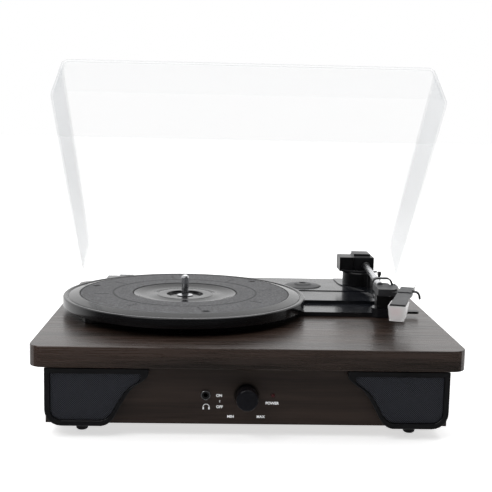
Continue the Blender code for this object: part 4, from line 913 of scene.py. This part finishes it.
@dataclass
class Controls(Assembly):
    """The volume knob and its shaft."""

    dressing: ClassVar[dict[str, tuple[str, ...]]] = {
        "knob_gloss": ("volume_knob",),
        "bright_steel": ("volume_shaft",),
    }
    face_rings: int = 7

    def build(self) -> list[bpy.types.Object]:
        """The knob turned again with a spun face: shallow rings whose height follows a sine of radius."""
        low, high = (np.asarray(corner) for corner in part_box("volume_knob"))
        r = (high[0] - low[0]) / 2
        centre = ((low[0] + high[0]) / 2, low[1], (low[2] + high[2]) / 2)
        radius = np.linspace(0.4 * MM, r - 1.9 * MM, 50)
        wave = 0.03 * MM * (np.sin(radius / r * self.face_rings * 2 * math.pi) - 1)
        depth = -(high[1] - low[1])
        section = list(zip(radius, wave)) + [(r - 1.5 * MM, 0.0), (r - 0.5 * MM, -0.45 * MM), (r, -1.7 * MM)]
        section += [(r, depth), (0.4 * MM, depth)]
        knob = turned_piece(
            "knob_turned", section, centre, self.finishes["knob_gloss"], "volume", 96, Along.FRONT, 0.2 * MM
        )
        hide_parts("volume_knob")
        return [knob]


@dataclass
class Tonearm(Assembly):
    """Pedestal, arm, head, guard, rest and lift."""

    dressing: ClassVar[dict[str, tuple[str, ...]]] = {
        "satin_black": (
            "arm_pedestal", "arm_yoke", "arm_housing", "arm_rest", "arm_clip", "cue_lever", "cue_platform",
        ),
        "shell_grey": ("arm_elbow", "headshell"),
        "arm_silver": ("arm_tube",),
        "soft_black": ("cartridge",),
        "red_moulding": ("stylus",),
        "milky_guard": ("stylus_guard",),
        "bright_steel": ("tilt_pin",),
    }
    collar_length: float = 5.0 * MM
    collar_proud: float = 1.1 * MM
    collar_bore: float = 3.25 * MM
    collar_sides: int = 48
    head_ahead: tuple[float, float, float] = (-0.3077, -0.9515, 0.0)
    slot_reach: float = 30 * MM

    def points_of(self, node: str) -> np.ndarray:
        """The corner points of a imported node, one row each."""
        mesh = self.frame["nodes"][node].data
        place = np.empty(len(mesh.vertices) * 3)
        mesh.vertices.foreach_get("co", place)
        return place.reshape(-1, 3)

    def collar(self) -> bpy.types.Object:
        """A tapered collar where the tube leaves the block.

        Its points are the tube's line at distance s, plus a radius that narrows with s.

        Returns:
            The collar.
        """
        place = self.points_of("arm_tube")
        block_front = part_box("arm_housing")[0][1]
        near = place[np.abs(place[:, 1] - block_front) < 60 * MM]
        rear = near[near[:, 1] > block_front - 2 * MM].mean(axis=0) if len(near) else place.mean(axis=0)
        front = place[place[:, 1] < np.percentile(place[:, 1], 20)].mean(axis=0)
        ahead = (front - rear) / np.linalg.norm(front - rear)
        start = rear + ahead * (block_front - rear[1]) / ahead[1]
        side = np.cross(ahead, (0, 0, 1.0))
        side /= np.linalg.norm(side)
        other = np.cross(side, ahead)
        inner, length = self.collar_bore, self.collar_length
        widest = inner + self.collar_proud
        outline = np.array(
            ((0.0, inner), (0.0, widest), (0.55 * length, widest), (length, inner + 0.35 * MM), (length, inner))
        )
        angle = np.arange(self.collar_sides) / self.collar_sides * 2 * math.pi
        spoke = np.cos(angle)[:, None] * side + np.sin(angle)[:, None] * other
        points = start + outline[:, 0, None, None] * ahead + outline[:, 1, None, None] * spoke[None]
        faces = grid_faces(len(outline), self.collar_sides, True, True)
        made = piece_from("tube_collar", points.reshape(-1, 3), faces, self.finishes["satin_black"], "arm")
        turn_outwards(made)
        return made

    def pips(self) -> list[bpy.types.Object]:
        """Two pale pips on the front of the rest."""
        low, high = (np.asarray(corner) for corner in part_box("arm_rest"))
        pip = ((0.1 * MM, 0.0), (0.45 * MM, 0.0), (0.35 * MM, 0.22 * MM), (0.1 * MM, 0.25 * MM))
        # The print finish carries a painted glow.
        mark_finish = self.finishes["white_print"]
        made = []
        for name, share in (("left", 0.3), ("right", 0.62)):
            centre = (low[0] + (high[0] - low[0]) * share, low[1], low[2] + (high[2] - low[2]) * 0.62)
            made.append(
                turned_piece(f"rest_pip_{name}", pip, centre, mark_finish, "cabinet", 16, Along.FRONT, 0.05 * MM)
            )
        return made

    def build(self) -> list[bpy.types.Object]:
        """Makes the collar, the pips and the head's slot drawn as painted shade."""
        return [self.collar(), *self.pips(), self.slot_line()]

    def slot_line(self) -> bpy.types.Object:
        """A dark strip down the middle of the head's top, from near its front: painted shade of the slot.

        Returns:
            The strip.
        """
        place = self.points_of("headshell")
        top = place[place[:, 2] > place[:, 2].max() - 1.2 * MM]
        front = top[top[:, 1] < top[:, 1].min() + 1.5 * MM].mean(axis=0)
        ahead = np.array(self.head_ahead)
        height = place[:, 2].max() + 0.02 * MM
        start = np.array((front[0], front[1], height)) - ahead * 4 * MM
        path = start[None] - ahead[None] * np.linspace(0, self.slot_reach, 6)[:, None]
        # Gloss black strip laid over the slot: painted shade of its inside.
        mark_finish = self.finishes["gloss_black"]
        return swept_strip("head_slot", path, 0.8 * MM, 0.1 * MM, mark_finish, "arm", up=(0.0, 0.0, 1.0))


@dataclass
class DustCover(Assembly):
    """The clear cover with its hinges."""

    dressing: ClassVar[dict[str, tuple[str, ...]]] = {
        "clear_cover": ("dust_cover",),
        "clear_hinge": ("hinge_bracket_left", "hinge_bracket_right", "hinge_leaf_left", "hinge_leaf_right"),
        "bright_steel": ("hinge_pin_left", "hinge_pin_right"),
    }


# ---- studio -------------------------------------------------------------------------
@dataclass
class Studio:
    """White floor, soft light and the camera."""

    eye: tuple[float, float, float] = (-0.0303, -0.874006, 0.2575)
    yaw: float = -0.0358
    pitch: float = 0.1353
    roll: float = 0.0219
    lens: float = 66.8
    bright: float = 1.0
    dim: float = 0.08

    def build(self) -> None:
        """Sets the whole stage."""
        self.floor()
        self.sky()
        self.lamp("key", (-0.9, -0.9, 1.5), (1.2, 1.2), 13.0)
        self.lamp("over", (0.2, 0.3, 1.6), (1.8, 1.4), 14.0)
        self.camera()

    def floor(self) -> None:
        """A wide pale floor."""
        reach = 12.0
        corners = np.array(((-reach, -reach, 0), (reach, -reach, 0), (reach, reach, 0), (-reach, reach, 0)))
        mesh = bpy.data.meshes.new("floor")
        mesh.from_pydata(corners.tolist(), [], [[0, 1, 2, 3]])
        floor = bpy.data.objects.new("floor", mesh)
        bpy.context.scene.collection.objects.link(floor)
        pen = Sketch("pale_floor")
        pen.set(Base_Color=(0.9, 0.9, 0.9, 1), Roughness=0.8, Specular_IOR_Level=0.1)
        pen.set(Emission_Color=(1, 1, 1, 1), Emission_Strength=0.62)
        mesh.materials.append(pen.material)
        floor.visible_glossy = False

    def sky(self) -> None:
        """A world that is bright behind the player and dim in front of it, by the direction's y."""
        world = bpy.data.worlds.new("studio")
        bpy.context.scene.world = world
        world.use_nodes = True
        tree = world.node_tree
        source = tree.nodes.new("ShaderNodeTexCoord")
        parts = tree.nodes.new("ShaderNodeSeparateXYZ")
        fade = tree.nodes.new("ShaderNodeMapRange")
        fade.interpolation_type = "SMOOTHSTEP"
        for index, number in enumerate((-0.2, 0.45, self.dim, self.bright), 1):
            fade.inputs[index].default_value = number
        tree.links.new(source.outputs["Generated"], parts.inputs[0])
        tree.links.new(parts.outputs[1], fade.inputs[0])
        tree.links.new(fade.outputs[0], tree.nodes["Background"].inputs["Strength"])
        tree.nodes["Background"].inputs["Color"].default_value = (1, 1, 1, 1)

    def lamp(self, name: str, place: Sequence[float], size: tuple[float, float], power: float) -> None:
        """One soft panel of light aimed at the player.

        Args:
            name: the lamp's name.
            place: where it hangs.
            size: its width and height in metres.
            power: its strength in watts.
        """
        light = bpy.data.lights.new(name, "AREA")
        light.shape = "RECTANGLE"
        light.size, light.size_y = size
        light.energy = power
        holder = bpy.data.objects.new(name, light)
        bpy.context.scene.collection.objects.link(holder)
        aim = Vector((0, 0, 0.08)) - Vector(place)
        holder.matrix_world = Matrix.Translation(place) @ aim.to_track_quat("-Z", "Y").to_matrix().to_4x4()

    def camera(self) -> None:
        """The camera, placed by its yaw, pitch and roll."""
        right = Vector((math.cos(self.yaw), math.sin(self.yaw), 0))
        level = Vector((-math.sin(self.yaw), math.cos(self.yaw), 0))
        ahead = math.cos(self.pitch) * level + Vector((0, 0, -math.sin(self.pitch)))
        up = math.sin(self.pitch) * level + Vector((0, 0, math.cos(self.pitch)))
        across = math.cos(self.roll) * right + math.sin(self.roll) * up
        upward = math.cos(self.roll) * up - math.sin(self.roll) * right
        camera = bpy.data.cameras.new("camera")
        camera.lens = self.lens
        camera.sensor_width = 36
        holder = bpy.data.objects.new("camera", camera)
        bpy.context.scene.collection.objects.link(holder)
        turn = Matrix((across, upward, -ahead)).transposed().to_4x4()
        holder.matrix_world = Matrix.Translation(self.eye) @ turn
        bpy.context.scene.camera = holder


def main() -> None:
    """Builds every sub-assembly in order and logs each made piece, then the studio."""
    logging.basicConfig(level=logging.INFO, format="%(name)s: %(message)s")
    for old in list(bpy.data.objects):
        bpy.data.objects.remove(old)
    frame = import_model()
    bpy.context.scene.view_settings.view_transform = "Standard"
    finishes = Finishes()
    for kind in (Cabinet, Speakers, Turntable, Controls, Tonearm, DustCover):
        assembly = kind(frame, finishes)
        assembly.dress()
        for made in assembly.build():
            LOG.info("%s: %s, %d faces", kind.__name__, made.name, len(made.data.polygons))
    Studio().build()


if __name__ == "__main__":
    main()
